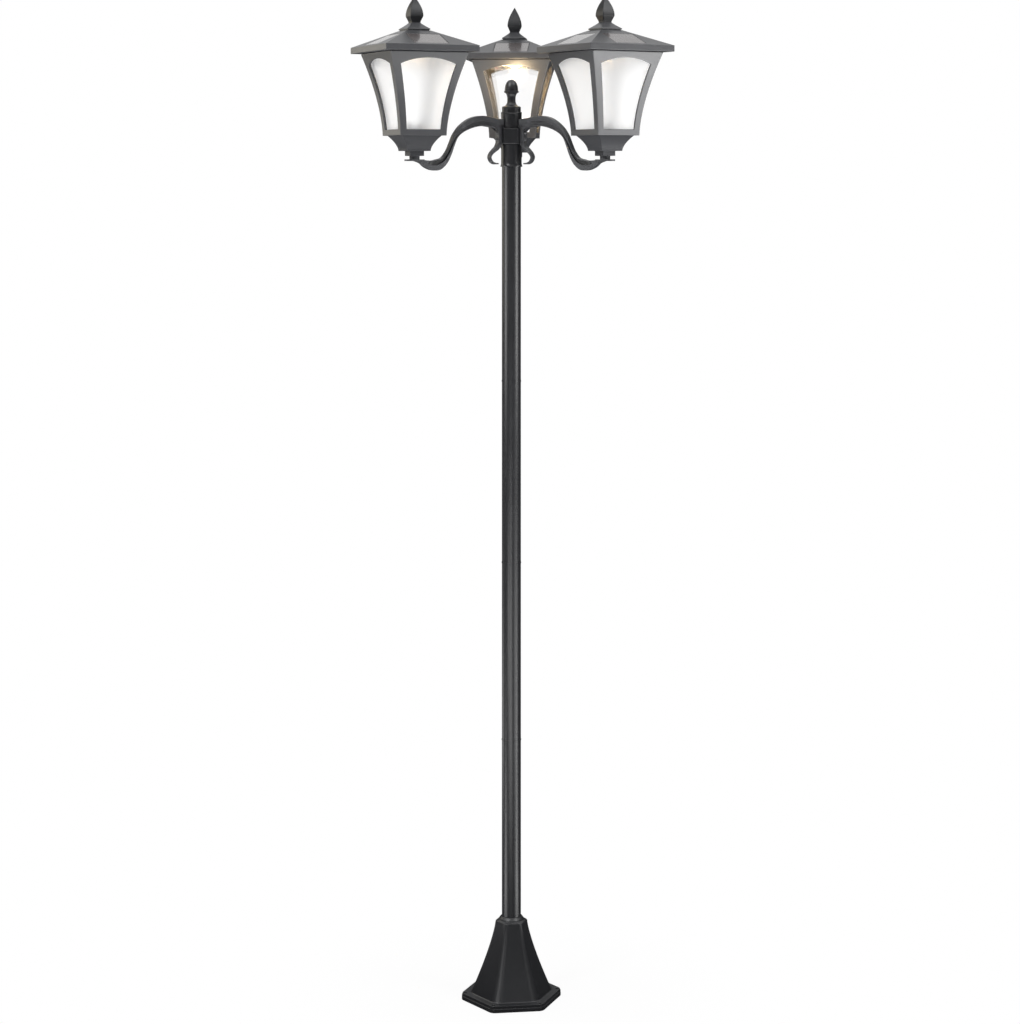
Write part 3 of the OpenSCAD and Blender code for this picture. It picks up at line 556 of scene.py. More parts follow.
class GARDENLAMP_PG_lantern(bpy.types.PropertyGroup):
    """Sizes of a lantern and its roof, in millimetres."""

    frame_low: FloatProperty(name="Frame foot", description="Width of the frame at its bottom", default=82.5)
    frame_top: FloatProperty(name="Frame top", description="Width of the frame at its top", default=144.0)
    frame_height: FloatProperty(name="Frame height", description="Height of the frame", default=148.5)
    frame_bend: FloatProperty(name="Frame bend", description="How late the frame flares", default=1.6, min=1,
                              max=2)
    frame_wall: FloatProperty(name="Frame wall", description="Thickness of the frame", default=3.0)
    post_low: FloatProperty(name="Corner post, foot", description="Width of a corner post at its foot",
                            default=9.0)
    post_top: FloatProperty(name="Corner post, top", description="Width of a corner post at its top",
                            default=13.0)
    rail: FloatProperty(name="Rail", description="Height of the frame under a window", default=11.0)
    head: FloatProperty(name="Head", description="Height of the frame above a window's arch", default=11.0)
    arch_rise: FloatProperty(name="Arch rise", description="Rise of a window's arch", default=11.0)
    eave_width: FloatProperty(name="Eaves", description="Width of the roof over its eaves", default=178.0)
    fascia: FloatProperty(name="Fascia", description="Height of the fascia", default=11.0)
    pitch: FloatProperty(name="Roof pitch", description="Slope of the roof, in degrees", default=23.0)
    cap_width: FloatProperty(name="Cap", description="Width of the cap", default=44.0)
    panel_width: FloatProperty(name="Panel width", description="Width of a solar panel", default=65.0)
    panel_length: FloatProperty(name="Panel length", description="Length of a solar panel up the slope",
                                default=48.0)
    panel_low: FloatProperty(name="Panel place", description="Distance from the eave to a panel", default=6.0)
    finial_width: FloatProperty(name="Finial", description="Largest width of the finial", default=25.0)


class GARDENLAMP_PG_finish(bpy.types.PropertyGroup):
    """Colours and gloss of the finishes, and the light of the LEDs."""

    black: FloatVectorProperty(name="Post", description="Colour of the base, pole and hub", subtype="COLOR",
                               size=3, default=(0.011, 0.0115, 0.0135), min=0, max=1)
    grey: FloatVectorProperty(name="Lantern", description="Colour of the lanterns and arms", subtype="COLOR",
                              size=3, default=(0.036, 0.037, 0.041), min=0, max=1)
    rubbed: FloatVectorProperty(name="Edges", description="Colour of rubbed edges", subtype="COLOR",
                                size=3, default=(0.085, 0.087, 0.093), min=0, max=1)
    cells: FloatVectorProperty(name="Solar cells", description="Colour of the cells under the glass",
                               subtype="COLOR", size=3, default=(0.085, 0.074, 0.074), min=0, max=1)
    glow: FloatVectorProperty(name="LED light", description="Colour of the lit lens", subtype="COLOR",
                              size=3, default=(1.0, 0.74, 0.38), min=0, max=1)
    glow_strength: FloatProperty(name="LED strength", description="Strength of the lit lens", default=1.3,
                                 min=0)
    gloss: FloatProperty(name="Roughness", description="Roughness of the moulded finish", default=0.36,
                         min=0, max=1)


class GARDENLAMP_PG_studio(bpy.types.PropertyGroup):
    """The camera's place and the strength of the lights."""

    distance: FloatProperty(name="Camera distance", description="From the pole's axis to the camera",
                            default=4.3, unit="LENGTH")
    height: FloatProperty(name="Camera height", description="Height of the camera above the ground",
                          default=1.505, unit="LENGTH")
    turn: FloatProperty(name="Camera turn", description="Turn of the camera round the lamp",
                        default=math.radians(1.8), subtype="ANGLE")
    left: FloatProperty(name="Left light", description="Power of the tall light on the left", default=10.0,
                        min=0,
                        subtype="POWER")
    right: FloatProperty(name="Right light", description="Power of the tall light on the right",
                         default=12.0, min=0,
                         subtype="POWER")
    low: FloatProperty(name="Low light", description="Power of the lights that lie on the floor",
                       default=30.0, min=0,
                       subtype="POWER")
    leds: FloatProperty(name="LED light", description="Power of the light under the back lens", default=2.2,
                        min=0,
                        subtype="POWER")
    ambient: FloatProperty(name="Surround", description="Brightness of the surround for plain light",
                           default=0.5,
                           min=0)
    horizon: FloatProperty(name="Horizon",
                           description="Brightness of the surround's lower part in reflections",
                           default=0.06, min=0)
    zenith: FloatProperty(name="Zenith", description="Brightness of the surround's upper part in reflections",
                          default=1.0, min=0)


# Pieces of the post


def skin(name):
    """A finish by its name; the finishes are made before the pieces."""
    return bpy.data.materials[name]


class GARDENLAMP_OT_finishes(bpy.types.Operator):
    """Makes the materials"""

    bl_idname = "gardenlamp.finishes"
    bl_label = "Make the finishes"

    def execute(self, context):
        finish = context.scene.gardenlamp_finish
        groups = moulded_skin_group(), rubbed_edge_group()
        black, grey, rubbed, gloss = finish.black, finish.grey, finish.rubbed, finish.gloss
        coated("Post Black", black, rubbed, gloss, groups, specular=0.5, rubbed=0.25)
        coated("Pole Paint", black, rubbed, gloss - 0.03, groups, specular=0.8, grain=600, bump=0.002,
               rubbed=0)
        coated("Lantern Grey", grey, rubbed, gloss, groups, specular=0.9, rubbed=0.4)
        coated("Pan Grey", grey, rubbed, gloss + 0.1, groups, specular=0.25, rubbed=0.4)
        # the arms' recesses are darkened with painted shade
        coated("Arm Grey", grey, rubbed, gloss + 0.04, groups, specular=0.6, rubbed=0.4, recess_shade=0.85)
        coated("Screw Steel", (0.12, 0.12, 0.125), rubbed, 0.35, groups, metallic=0.8, rubbed=0)
        coated("White Plastic", (0.72, 0.71, 0.67), (0.85, 0.84, 0.8), 0.45, groups, mottle=0.06, rubbed=0)
        coated("Board Green", (0.02, 0.12, 0.04), (0.1, 0.22, 0.1), 0.4, groups, mottle=0.4, rubbed=0)
        coated("Battery Sleeve", (0.05, 0.28, 0.08), (0.2, 0.45, 0.2), 0.35, groups, mottle=0.1, rubbed=0)
        coated("Switch Red", (0.55, 0.04, 0.025), (0.7, 0.2, 0.15), 0.4, groups, mottle=0.1, rubbed=0)
        pane_plastic("Clear Pane", 0.01, 0.2, 0.0)
        # the hazed panes glow faintly with painted light
        pane_plastic("Hazed Pane", 0.45, 1.0, 0.075)
        solar_glass(finish.cells)
        glowing("Warm Lens", (0.9, 0.82, 0.6), finish.glow, finish.glow_strength)
        glowing("Unlit Lens", (0.9, 0.88, 0.8), finish.glow, 0.05)
        return {"FINISHED"}


class GARDENLAMP_OT_base(bpy.types.Operator):
    """Builds the six-sided base with its flange, flare and rim"""

    bl_idname = "gardenlamp.base"
    bl_label = "Build the base"

    def execute(self, context):
        post = context.scene.gardenlamp_post
        mouth = box_mm("base")[1][2]
        crown = mouth - 8.5
        wide, narrow, flange, step = post.foot_radius / 1.1, post.crown_radius / 1.1, 12.0, 6.5
        share = np.linspace(0, 1, 33)
        flat = narrow + (wide - narrow) * (1 - share) ** post.flare_bend
        level = flange + (crown - flange) * share
        soft, wall = post.edge_soft, 3.0
        half, corner = post.flange_half, post.corner_radius
        inner, upper = half - 4.2, corner - 0.6
        # a corner's extreme is 1.1 times the flat distance: 1.1547 f - 0.1547 r = 1.1 f
        round_part = (1 / math.cos(math.pi / 6) - 1.1) / (1 / math.cos(math.pi / 6) - 1)
        flare = np.stack([flat, level, round_part * flat], 1)
        foot = filleted(
            [[inner, 0, upper], [half, 0, corner], [half, step, corner], [half - 1.2, step + 0.3, upper],
             [half - 1.2, flange, upper], [flat[0], flange, flare[0, 2]], flare[2]],
            [0.5, soft, 0.4, soft, 2.0],
        )
        bore, tube, bottom = POLE_SEAT, POLE_SEAT + 2.6, mouth - 60
        top = filleted(
            [flare[-3], flare[-1], [25.4, crown + 1.0, 21], [23.0, crown + 2.7, 23.0],
             [22.5, crown + 4.3, 22.5], [19.9, mouth - 0.9, 19.9], [19.0, mouth, 19.0], [bore, mouth, bore],
             [bore, mouth - 6, bore]],
            [soft, 0.5, 0.4, 0.5, 0.4, 0.3, 0.3],
        )
        hollow = flare[:-4] - [wall, 0, 0]
        profile = np.vstack([
            [[0, bottom - wall, 0], [tube, bottom - wall, tube], [tube, hollow[-1, 1], tube]], hollow[::-1],
            [[inner, flange - wall, upper], [inner, 0, upper]], foot[1:], flare[3:-3], top,
            [[bore, bottom, bore], [0, bottom, 0]],
        ])
        body = [(turned(rings(profile, 6, steps=6), BASE_TURN), True)]
        base = make_piece("base_moulding", body, skin("Post Black"), "post",
                          replaces=["base"])
        angles = np.arange(6) * 60.0 + BASE_TURN

        def at_holes(outline):
            """A small turned body at each ground hole."""
            places = [(HOLE_CIRCLE * math.cos(a), HOLE_CIRCLE * math.sin(a), 0) for a in np.radians(angles)]
            return [(turned(round_rings(outline, 32), 0, place), True) for place in places]

        drills = at_holes([[0, -2], [GROUND_HOLE, -2], [GROUND_HOLE, 14], [0, 14]])
        drill = make_piece("ground_hole_drill", drills, skin("Post Black"), "post")
        cut = base.modifiers.new("Ground holes", "BOOLEAN")
        cut.operation = "DIFFERENCE"
        cut.solver = "EXACT"
        cut.object = drill
        base.modifiers.move(len(base.modifiers) - 1, 0)
        apply_modifier(base, "Ground holes")
        bpy.data.objects.remove(drill)
        ring = filleted([[GROUND_HOLE, 0], [7, 0], [7, 9.5], [GROUND_HOLE, 9.5]], [0.3, 0.1])
        grids = at_holes(np.vstack([ring, ring[:1]]))
        grids += [(turned(rib_plate(hollow), a), True) for a in angles]
        make_piece("base_bosses_and_ribs", grids, skin("Post Black"), "post")
        return {"FINISHED"}


def apply_modifier(piece, name):
    """Applies one modifier of a piece."""
    with bpy.context.temp_override(object=piece, active_object=piece, selected_objects=[piece]):
        bpy.ops.object.modifier_apply(modifier=name)


def rib_plate(hollow):
    """A stiffening rib: an upright plate from the socket's tube out to the hollow's corner line."""
    outer = np.stack([hollow[:, 0] * 1.1 + 1, hollow[:, 1]], 1)
    outline = np.vstack([[[19.5, 3.0]], [[outer[0, 0] - 2, 3.0]], outer, [[19.5, outer[-1, 1]]]])
    return slab(outline, 2.4, 1)


class GARDENLAMP_OT_hub(bpy.types.Operator):
    """Builds the hub's tube with its rings and band, and the acorn on its top"""

    bl_idname = "gardenlamp.hub"
    bl_label = "Build the hub"

    def execute(self, context):
        soft = context.scene.gardenlamp_post.edge_soft
        length, bore, hole, plug = HUB_TOP - HUB_Z, POLE_SEAT, 14.0, 13.9
        tube = filleted(
            [[bore, 37], [bore, 0], [20, 0], [20, 2.2], [19.5, 2.8], [18.9, 5.6], [18.9, length - 2.8],
             [19.4, length - 2.2], [19.4, length - 0.6], [18.8, length], [hole, length], [hole, length - 12]],
            [0.3, 0.4, 0.4, 0.3, 2, 0.5, 0.3, 0.4, 0.3, 0.3],
        )
        tube = np.vstack([[[0, 37]], tube, [[hole, 44.5], [0, 44.5]]])
        pad, half = 22.5, 14.5
        band = filleted(
            [[0, -half, 0], [pad - 1.2, -half, 4], [pad, 0.9 - half, 1.2], [pad, half - 0.9, 1.2],
             [pad - 1.2, half, 4], [0, half, 0]], soft)
        grids = [(turned(round_rings(tube), 0, (0, 0, HUB_Z)), True),
                 (turned(rings(band, 6), 0, (0, 0, BAND_Z)), True)]
        make_piece("hub_tube", grids, skin("Pole Paint"), "post", replaces=["hub"])
        quarter = np.radians(np.linspace(0, 90, 13))
        cove = np.stack([15.8 - 8.2 * np.sin(quarter), 21 - 10.5 * np.cos(quarter)], 1)
        cup = np.stack([7.6 + 5.9 * (1 - np.cos(quarter)), 25 + 11 * np.sin(quarter)], 1)
        dome = np.stack([12.3 * np.cos(quarter) ** 0.85, 39.6 + 20 * np.sin(quarter)], 1)
        foot = filleted([[0, -12], [plug, -12], [plug, 0], [17.3, 0], [17.3, 8.8], [16.6, 10.1], cove[0]],
                        [0.4, 0.3, 0.5, 0.6, 0.4])
        collar = filleted([cup[-1], [13.5, 38.6], [11.9, 38.9], [11.9, 39.6], dome[0]], [0.5, 0.2, 0.1])
        profile = np.vstack([foot[:-1], cove, cup[:-1], collar[:-1], dome])
        acorn = [(turned(round_rings(profile), 0, (0, 0, HUB_TOP)), True)]
        make_piece("hub_acorn", acorn, skin("Pole Paint"), "post", replaces=["hub_finial"])
        return {"FINISHED"}


# an arm and its tail: distance from the pole's axis, height over the band's middle, thickness
ARM_STATIONS = [
    [19.6, 22.8, 15.2], [40, 24.4, 17.6], [61, 27.3, 18.7], [82, 23.9, 18.2], [102, 13.5, 13.5],
    [115.5, 0, 9], [123, -16, 8.5], [129.5, -31, 10], [139, -45, 14], [151, -52.2, 19.6],
    [163, -53.6, 17.4], [175, -51, 13], [185, -46.7, 7], [197, -44.5, 3],
]
TAIL_STATIONS = [
    [26.2, -11, 7], [30, -20.5, 7], [36, -26, 6], [42, -31.5, 4.4], [45.5, -38.5, 3],
    [42.5, -46, 2.8], [36.5, -49.8, 2.8], [29.5, -50.3, 2.4],
]
# the plate at an arm's root: distance from the pole's axis and height over the band's middle
ROOT_OUTLINE = [
    [22.5, -17], [28.2, -17], [29.7, -14], [29.7, 10.2], [31.3, 12.8], [38, 15.6], [38, 20], [19.1, 20],
    [19.1, 14.7], [22.5, 14.7],
]


class GARDENLAMP_OT_arms(bpy.types.Operator):
    """Builds the three scroll arms, each with its tail, root plate and tab"""

    bl_idname = "gardenlamp.arms"
    bl_label = "Build the arms"

    def execute(self, context):
        post = context.scene.gardenlamp_post
        path = smooth_path(ARM_STATIONS)
        place = np.arange(len(path)) / 8
        side = post.arm_recess * ramp(place, 0.6, 1.6) * (1 - ramp(place, 10.4, 11))
        deep = (post.arm_crescent - post.arm_recess) * ramp(place, 5.2, 7.0) * (1 - ramp(place, 10, 11))
        # the recess keeps to the inner side of each bend: low on the arch, high in the lower bend
        inward = ramp(place, 3.4, 6.6)
        wide_rim = 0.5 * path[:, 2]
        low_rim = post.arm_rim * (1 - inward) + np.maximum(wide_rim, post.arm_rim) * inward
        high_rim = np.maximum(wide_rim, post.arm_rim) * (1 - inward) + post.arm_rim * inward
        steep = ramp(place, 3.2, 5) * (1 - ramp(place, 5, 7))
        low_rim, high_rim = low_rim - 0.25 * steep * wide_rim, high_rim - 0.25 * steep * wide_rim
        scroll, sunk = swept_bar(path, post.arm_width, post.edge_soft, low_rim, high_rim, side + deep)
        tail_path = smooth_path(TAIL_STATIONS)
        tail, _ = swept_bar(tail_path, post.arm_width, post.edge_soft, 1.0, 1.0, 0 * tail_path[:, 0])
        root = slab(filleted(ROOT_OUTLINE, 0.6, 2), post.arm_width, 1)
        around = np.radians(np.linspace(0, 360, 48, endpoint=False))
        stretch = np.where(np.cos(around) > 0, 9.5, -9.5)
        tab = np.stack([197 + stretch + 9.5 * np.cos(around), 9.5 * np.sin(around)], 1)
        plate = slab(tab, 3.0, 2) + [0, 0, -44.5]
        for name in SIDES:
            grids = [(turned(g, ARM_ANGLES[name], (0, 0, BAND_Z)), True) for g in (scroll, tail, root, plate)]
            make_piece(f"scroll_arm_{name}", grids, skin("Arm Grey"), "post",
                       replaces=[f"arm_{name}"], bevel=0.5, angle=50, sunk=sunk / post.arm_crescent)
        return {"FINISHED"}


# Pieces of a lantern


def on_four_sides(points, side, height, closes=True):
    """A face's grid of points carried to the four sides of a lantern."""
    return [(at_lantern(turned(points, a), side, height), closes) for a in (0, 90, 180, 270)]


def square_body(profile, side, height, steps=5):
    """The rings of a square body, from its profile, carried to a lantern."""
    return [(at_lantern(rings(profile, 4, 45, steps), side, height), True)]


def frame_half(sizes, z):
    """Half the frame's width at a height: its foot's half plus a power of the height's share."""
    share = (z / sizes.frame_height) ** sizes.frame_bend
    return (sizes.frame_low + (sizes.frame_top - sizes.frame_low) * share) / 2


def window_half(sizes, z):
    """Half a window's width at a height: the frame's half less a corner post, which widens upwards."""
    return frame_half(sizes, z) - sizes.post_low - (sizes.post_top - sizes.post_low) * z / sizes.frame_height


def window_arch(sizes):
    """The height where a window's arch starts, half its width there, and its radius.

    The radius of an arch over a chord is (half^2 + rise^2) / (2 rise).
    """
    spring = sizes.frame_height - sizes.head - sizes.arch_rise
    half = window_half(sizes, spring)
    return spring, half, (half**2 + sizes.arch_rise**2) / (2 * sizes.arch_rise)


def loop_round(right, over, bottom):
    """A closed outline: a level sill, the right side going up, the top, and the left side mirrored."""
    sill = np.linspace(-right[0, 0], right[0, 0], bottom + 1)[:-1]
    sill = np.stack([sill, np.full(bottom, right[0, 1])], 1)
    left = right[::-1] * [-1, 1]
    return np.vstack([sill, right, over, left[:-1]])


def window_loop(sizes, bottom=8, side=18, arch=28):
    """The window's outline as a loop: sill, right side along the flare, arch, left side."""
    spring, half, radius = window_arch(sizes)
    z = np.linspace(sizes.rail, spring, side + 1)
    right = np.stack([window_half(sizes, z), z], 1)
    swing = np.linspace(math.asin(half / radius), -math.asin(half / radius), arch + 1)[1:-1]
    over = np.stack([radius * np.sin(swing), spring + sizes.arch_rise - radius + radius * np.cos(swing)], 1)
    return loop_round(right, over, bottom)


def face_loop(sizes, bottom=8, side=18, arch=28):
    """A face's outline with as many points as the window's, corner to corner."""
    z = np.linspace(0, sizes.frame_height, side + 1)
    right = np.stack([frame_half(sizes, z), z], 1)
    top = np.linspace(right[-1, 0], -right[-1, 0], arch + 1)[1:-1]
    return loop_round(right, np.stack([top, np.full(len(top), sizes.frame_height)], 1), bottom)


def on_face(sizes, points, inset=0.0):
    """Points of a face, as across and height, put on the flared surface that faces -Y."""
    return np.stack([points[..., 0], -(frame_half(sizes, points[..., 1]) - inset), points[..., 1]], -1)


class GARDENLAMP_OT_frames(bpy.types.Operator):
    """Builds the flared lantern frames with their arched windows and floors"""

    bl_idname = "gardenlamp.frames"
    bl_label = "Build the lantern frames"

    def execute(self, context):
        sizes = context.scene.gardenlamp_lantern
        window, edge = window_loop(sizes), face_loop(sizes)
        t = np.linspace(0, 1, 6)[:, None, None]
        face = on_face(sizes, window[None] * (1 - t) + edge[None] * t)
        low = sizes.frame_low / 2
        floor = filleted(
            [[0, 0, 0], [low + 1, 0, 1.5], [low + 1, 2.4, 1.5], [low - 1, 2.4, 1], [low - 1, 3, 1],
             [0, 3, 0]], 0.4, 3)
        for name in SIDES:
            body = f"lantern_{name}"
            walls, plate = on_four_sides(face, name, FRAME_FOOT), square_body(floor, name, FRAME_FOOT)
            make_piece(f"lantern_frame_{name}", walls, skin("Lantern Grey"), body,
                       replaces=[f"frame_{name}"], bevel=0.7, angle=40, wall=sizes.frame_wall)
            make_piece(f"lantern_floor_{name}", plate, skin("Lantern Grey"), body)
        return {"FINISHED"}


class GARDENLAMP_OT_panes(bpy.types.Operator):
    """Builds the panes behind the windows, clear in the back lantern and hazed in the other two"""

    bl_idname = "gardenlamp.panes"
    bl_label = "Build the panes"

    def execute(self, context):
        sizes = context.scene.gardenlamp_lantern
        lap, thick, gap = 4.0, 1.5, 0.15
        spring, half, radius = window_arch(sizes)
        across = np.linspace(-1, 1, 17)
        top = spring + sizes.arch_rise - radius + np.sqrt(radius**2 - (across * half) ** 2) + lap
        up = np.linspace(0, 1, 21)[:, None]
        z = sizes.rail - lap + up * (top - sizes.rail + lap)
        x = across * (window_half(sizes, np.minimum(z, spring)) + lap)
        front = on_face(sizes, np.stack([x, z], -1), sizes.frame_wall + gap)
        for name in SIDES:
            finish = skin("Clear Pane" if name == "back" else "Hazed Pane")
            pane = make_piece(f"lantern_panes_{name}", on_four_sides(front, name, FRAME_FOOT, False), finish,
                              f"lantern_{name}", replaces=[f"panes_{name}"], wall=thick)
            face_away(pane, lantern_place(name)[1])
        return {"FINISHED"}


def face_away(piece, centre):
    """Turns the faces of an open sheet so that they look away from an upright axis."""
    work = bmesh.new()
    work.from_mesh(piece.data)
    wrong = [f for f in work.faces
             if (f.calc_center_median().x - centre[0] * MM) * f.normal.x
             + (f.calc_center_median().y - centre[1] * MM) * f.normal.y < 0]
    bmesh.ops.reverse_faces(work, faces=wrong)
    work.to_mesh(piece.data)
    work.free()


class GARDENLAMP_OT_pans(bpy.types.Operator):
    """Builds the pans under the lanterns, each with its neck and block, and the thumb nuts inside"""

    bl_idname = "gardenlamp.pans"
    bl_label = "Build the pans and thumb nuts"

    def execute(self, context):
        share = np.linspace(0, 1, 20)
        flare = np.stack([22.5 + 15.25 * share**1.7, 15 + 27.5 * share, 1.4 + 0 * share], 1)
        neck = filleted(
            [[0, 0, 0], [9.2, 0, 9.2], [9.2, 6, 9.2], [13.5, 6.2, 1.3], [13.5, 15, 1.3], [22.5, 15, 1.4],
             flare[2]], [0.6, 0.4, 0.5, 0.4, 0.5])
        lip = filleted([flare[-2], flare[-1], [34, 42.5, 1.4], [0, 42.3, 0]], 0.5)
        profile = np.vstack([neck, flare[3:-1], lip])
        quarter = np.radians(np.linspace(0, 90, 13))
        dome = np.stack([13 * np.cos(quarter), 9 * np.sin(quarter)], 1)[:-1]
        dome = np.vstack([[[0, 0]], dome, [[3.4, 9.0], [3.4, 10.5], [0, 10.5]]])
        wing = filleted([[4, 0.5], [11, 0.5], [14, 19], [12, 22], [9, 20], [4, 9]], 1.5, 3)
        for name in SIDES:
            make_piece(f"lantern_pan_{name}", square_body(profile, name, PAN_FOOT), skin("Pan Grey"),
                       f"lantern_{name}", replaces=[f"pan_{name}"])
            foot = float(box_mm(f"thumb_nut_{name}")[0][2])
            nut = [(at_lantern(round_rings(dome, 48), name, foot), True)]
            nut += [(at_lantern(turned(slab(wing, 3, 1), a), name, foot), True) for a in (0, 180)]
            make_piece(f"wing_nut_{name}", nut, skin("Pan Grey"), "post",
                       replaces=[f"thumb_nut_{name}"], bevel=0.5, angle=50)
        return {"FINISHED"}


# Pieces of the roof


class GARDENLAMP_OT_roofs(bpy.types.Operator):
    """Builds the roofs with their sunk fields, and the solar panels in them"""

    bl_idname = "gardenlamp.roofs"
    bl_label = "Build the roofs and solar panels"

    def execute(self, context):
        sizes = context.scene.gardenlamp_lantern
        eave, cap = sizes.eave_width / 2, sizes.cap_width / 2
        slope = math.radians(sizes.pitch)
        rise = (eave - cap) * math.tan(slope)
        near, far = sizes.panel_low, sizes.panel_low + sizes.panel_length

        def field(grow, sink):
            """A panel's rectangle on the slope, grown by a margin and sunk along the slope's normal."""
            across, low, high = sizes.panel_width / 2 + grow, near - grow, far + grow
            corners = [(-across, low), (across, low), (across, high), (-across, high)]
            return [[x, -(eave - d * math.cos(slope) - sink * math.sin(slope)),
                     sizes.fascia + d * math.sin(slope) - sink * math.cos(slope)] for x, d in corners]

        brow, peak = sizes.fascia, sizes.fascia + rise
        rim = [[-eave, -eave, brow], [eave, -eave, brow], [cap, -cap, peak], [-cap, -cap, peak]]
        sunk = np.array(field(0.2, 1.6))
        face = np.array([rim, field(0.2, 0), sunk, np.tile(sunk.mean(0), (4, 1))])
        shell, seat, ledge = 3.2, 46.4, 2.4
        thick, inner = shell / math.cos(slope), eave - shell
        under = np.array([
            [0, peak - thick, 0], [cap, peak - thick, 0],
            [inner, sizes.fascia + shell * math.tan(slope) - thick, 0], [inner, ledge, 0], [seat, ledge, 0],
            [seat, 0, 0], [eave, 0, 0], [eave, sizes.fascia, 0]])
        lid = np.array([[cap, peak, 0], [0, peak, 0]])
        out = frame_half(sizes, sizes.frame_height - 5) - sizes.frame_wall - 0.4
        skirt = np.array([[out - 2, 0.5, 0], [out - 2, -5, 0], [out, -5, 0], [out, 0.5, 0],
                          [out - 2, 0.5, 0]])
        upper, lower = np.array(field(-0.8, 0.25)), np.array(field(-0.8, 1.6))
        plate = np.stack([np.tile(upper.mean(0), (4, 1)), upper, lower, np.tile(lower.mean(0), (4, 1))])
        for name in SIDES:
            body = f"roof_module_{name}"
            grids = [part for g in (under, lid, skirt) for part in square_body(g, name, FRAME_TOP, 1)]
            grids += on_four_sides(face, name, FRAME_TOP)
            make_piece(f"lantern_roof_{name}", grids, skin("Lantern Grey"), body,
                       replaces=[f"roof_{name}"], bevel=0.6, angle=18)
            make_piece(f"roof_cells_{name}", on_four_sides(plate, name, FRAME_TOP), skin("Solar Glass"), body,
                       replaces=[f"solar_panels_{name}"], bevel=0.25, angle=40)
        return {"FINISHED"}


class GARDENLAMP_OT_caps(bpy.types.Operator):
    """Builds the caps and finials on the roofs"""

    bl_idname = "gardenlamp.caps"
    bl_label = "Build the caps and finials"

    def execute(self, context):
        sizes = context.scene.gardenlamp_lantern
        half, brim, neck_half = sizes.cap_width / 2, 3.2, 8.5
        share = np.linspace(0, 1, 12)
        slope = np.stack([neck_half + (half - neck_half) * (1 - share) ** 1.15, brim + 10.8 * share,
                          0.7 + 0 * share], 1)
        low = filleted(
            [[0, 0, 0], [half - 1.6, 0, 0.6], [half - 1.6, 1.2, 0.6], [half, 1.2, 0.7], [half, brim, 0.7],
             slope[1]], [0.3, 0.2, 0.3, 0.5], 3)
        cap = np.vstack([low[:-1], slope[1:], [[0, slope[-1, 1], 0]]])
        wide, swell, tip, tip_half = sizes.finial_width / 2, 12.0, 48.0, 0.3
        angle = np.radians(np.linspace(0, 90, 22))
        bud = np.stack([tip_half + (wide - tip_half) * np.cos(angle),
                        swell + (tip - 0.2 - swell) * angle / (math.pi / 2),
                        np.minimum(0.8, 0.2 + wide * np.cos(angle) * 0.2)], 1)
        neck = filleted([[0, 0, 0], [neck_half, 0, 0.7], [neck_half, 2, 0.7], [wide, swell, 0.8], bud[2]],
                        [0.2, 1.0, 1.2], 4)
        finial = np.vstack([neck[:-1], bud[2:], [[0, tip, 0]]])
        for name in SIDES:
            body = f"roof_module_{name}"
            make_piece(f"cap_{name}", square_body(cap, name, CAP_FOOT, 3), skin("Lantern Grey"), body,
                       replaces=[f"roof_cap_{name}"])
            make_piece(f"bud_finial_{name}", square_body(finial, name, FINIAL_FOOT, 3), skin("Post Black"),
                       body, replaces=[f"finial_{name}"])
        return {"FINISHED"}


class GARDENLAMP_OT_small_parts(bpy.types.Operator):
    """Gives the carried-over solids their finishes"""

    bl_idname = "gardenlamp.small_parts"
    bl_label = "Finish the small parts"

    def execute(self, context):
        finishes = {
            "pole_section": "Pole Paint", "pole_couplings": "Pole Paint", "arm_screws": "Screw Steel",
            "stud": "Screw Steel", "lamp_housing": "White Plastic", "lens": "Warm Lens",
            "circuit_board": "Board Green", "battery_cover": "White Plastic", "battery": "Battery Sleeve",
            "switch": "Switch Red",
        }
        for name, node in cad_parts.items():
            found = [k for k in finishes if name.startswith(k)]
            if found and not node.hide_render:
                node.data.materials.clear()
                node.data.materials.append(skin(finishes[max(found, key=len)]))
        for side in ("left", "right"):
            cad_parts[f"lens_{side}"].data.materials[0] = skin("Unlit Lens")
        return {"FINISHED"}


# Studio


def seen_rays(tree):
    """The light path node of a tree, and 1 where a ray comes from the camera or through a pane."""
    path = tree.nodes.new("ShaderNodeLightPath")
    rays = path.outputs["Is Camera Ray"], path.outputs["Is Transmission Ray"]
    return path, math_node(tree, "MAXIMUM", *rays)


def surround(tree, studio):
    """The surround: white behind the lamp and its panes, dimmer for plain light and in reflections.

    In reflections it is dim where a direction's height is under 0.3 and bright where it is over 0.75,
    as a dark room with a lit ceiling is.
    """
    path, seen = seen_rays(tree)
    split = tree.nodes.new("ShaderNodeSeparateXYZ")
    tree.links.new(tree.nodes.new("ShaderNodeTexCoord").outputs["Generated"], split.inputs[0])
    mirrored = remap(tree, split.outputs["Z"], studio.horizon, studio.zenith, 0.3, 0.75, smooth=True)
    level = blend(tree, path.outputs["Is Glossy Ray"], studio.ambient, mirrored)
    sky = tree.nodes["Background"]
    sky.inputs["Color"].default_value = (1, 1, 1, 1)
    tree.links.new(blend(tree, seen, level, 1.0), sky.inputs["Strength"])


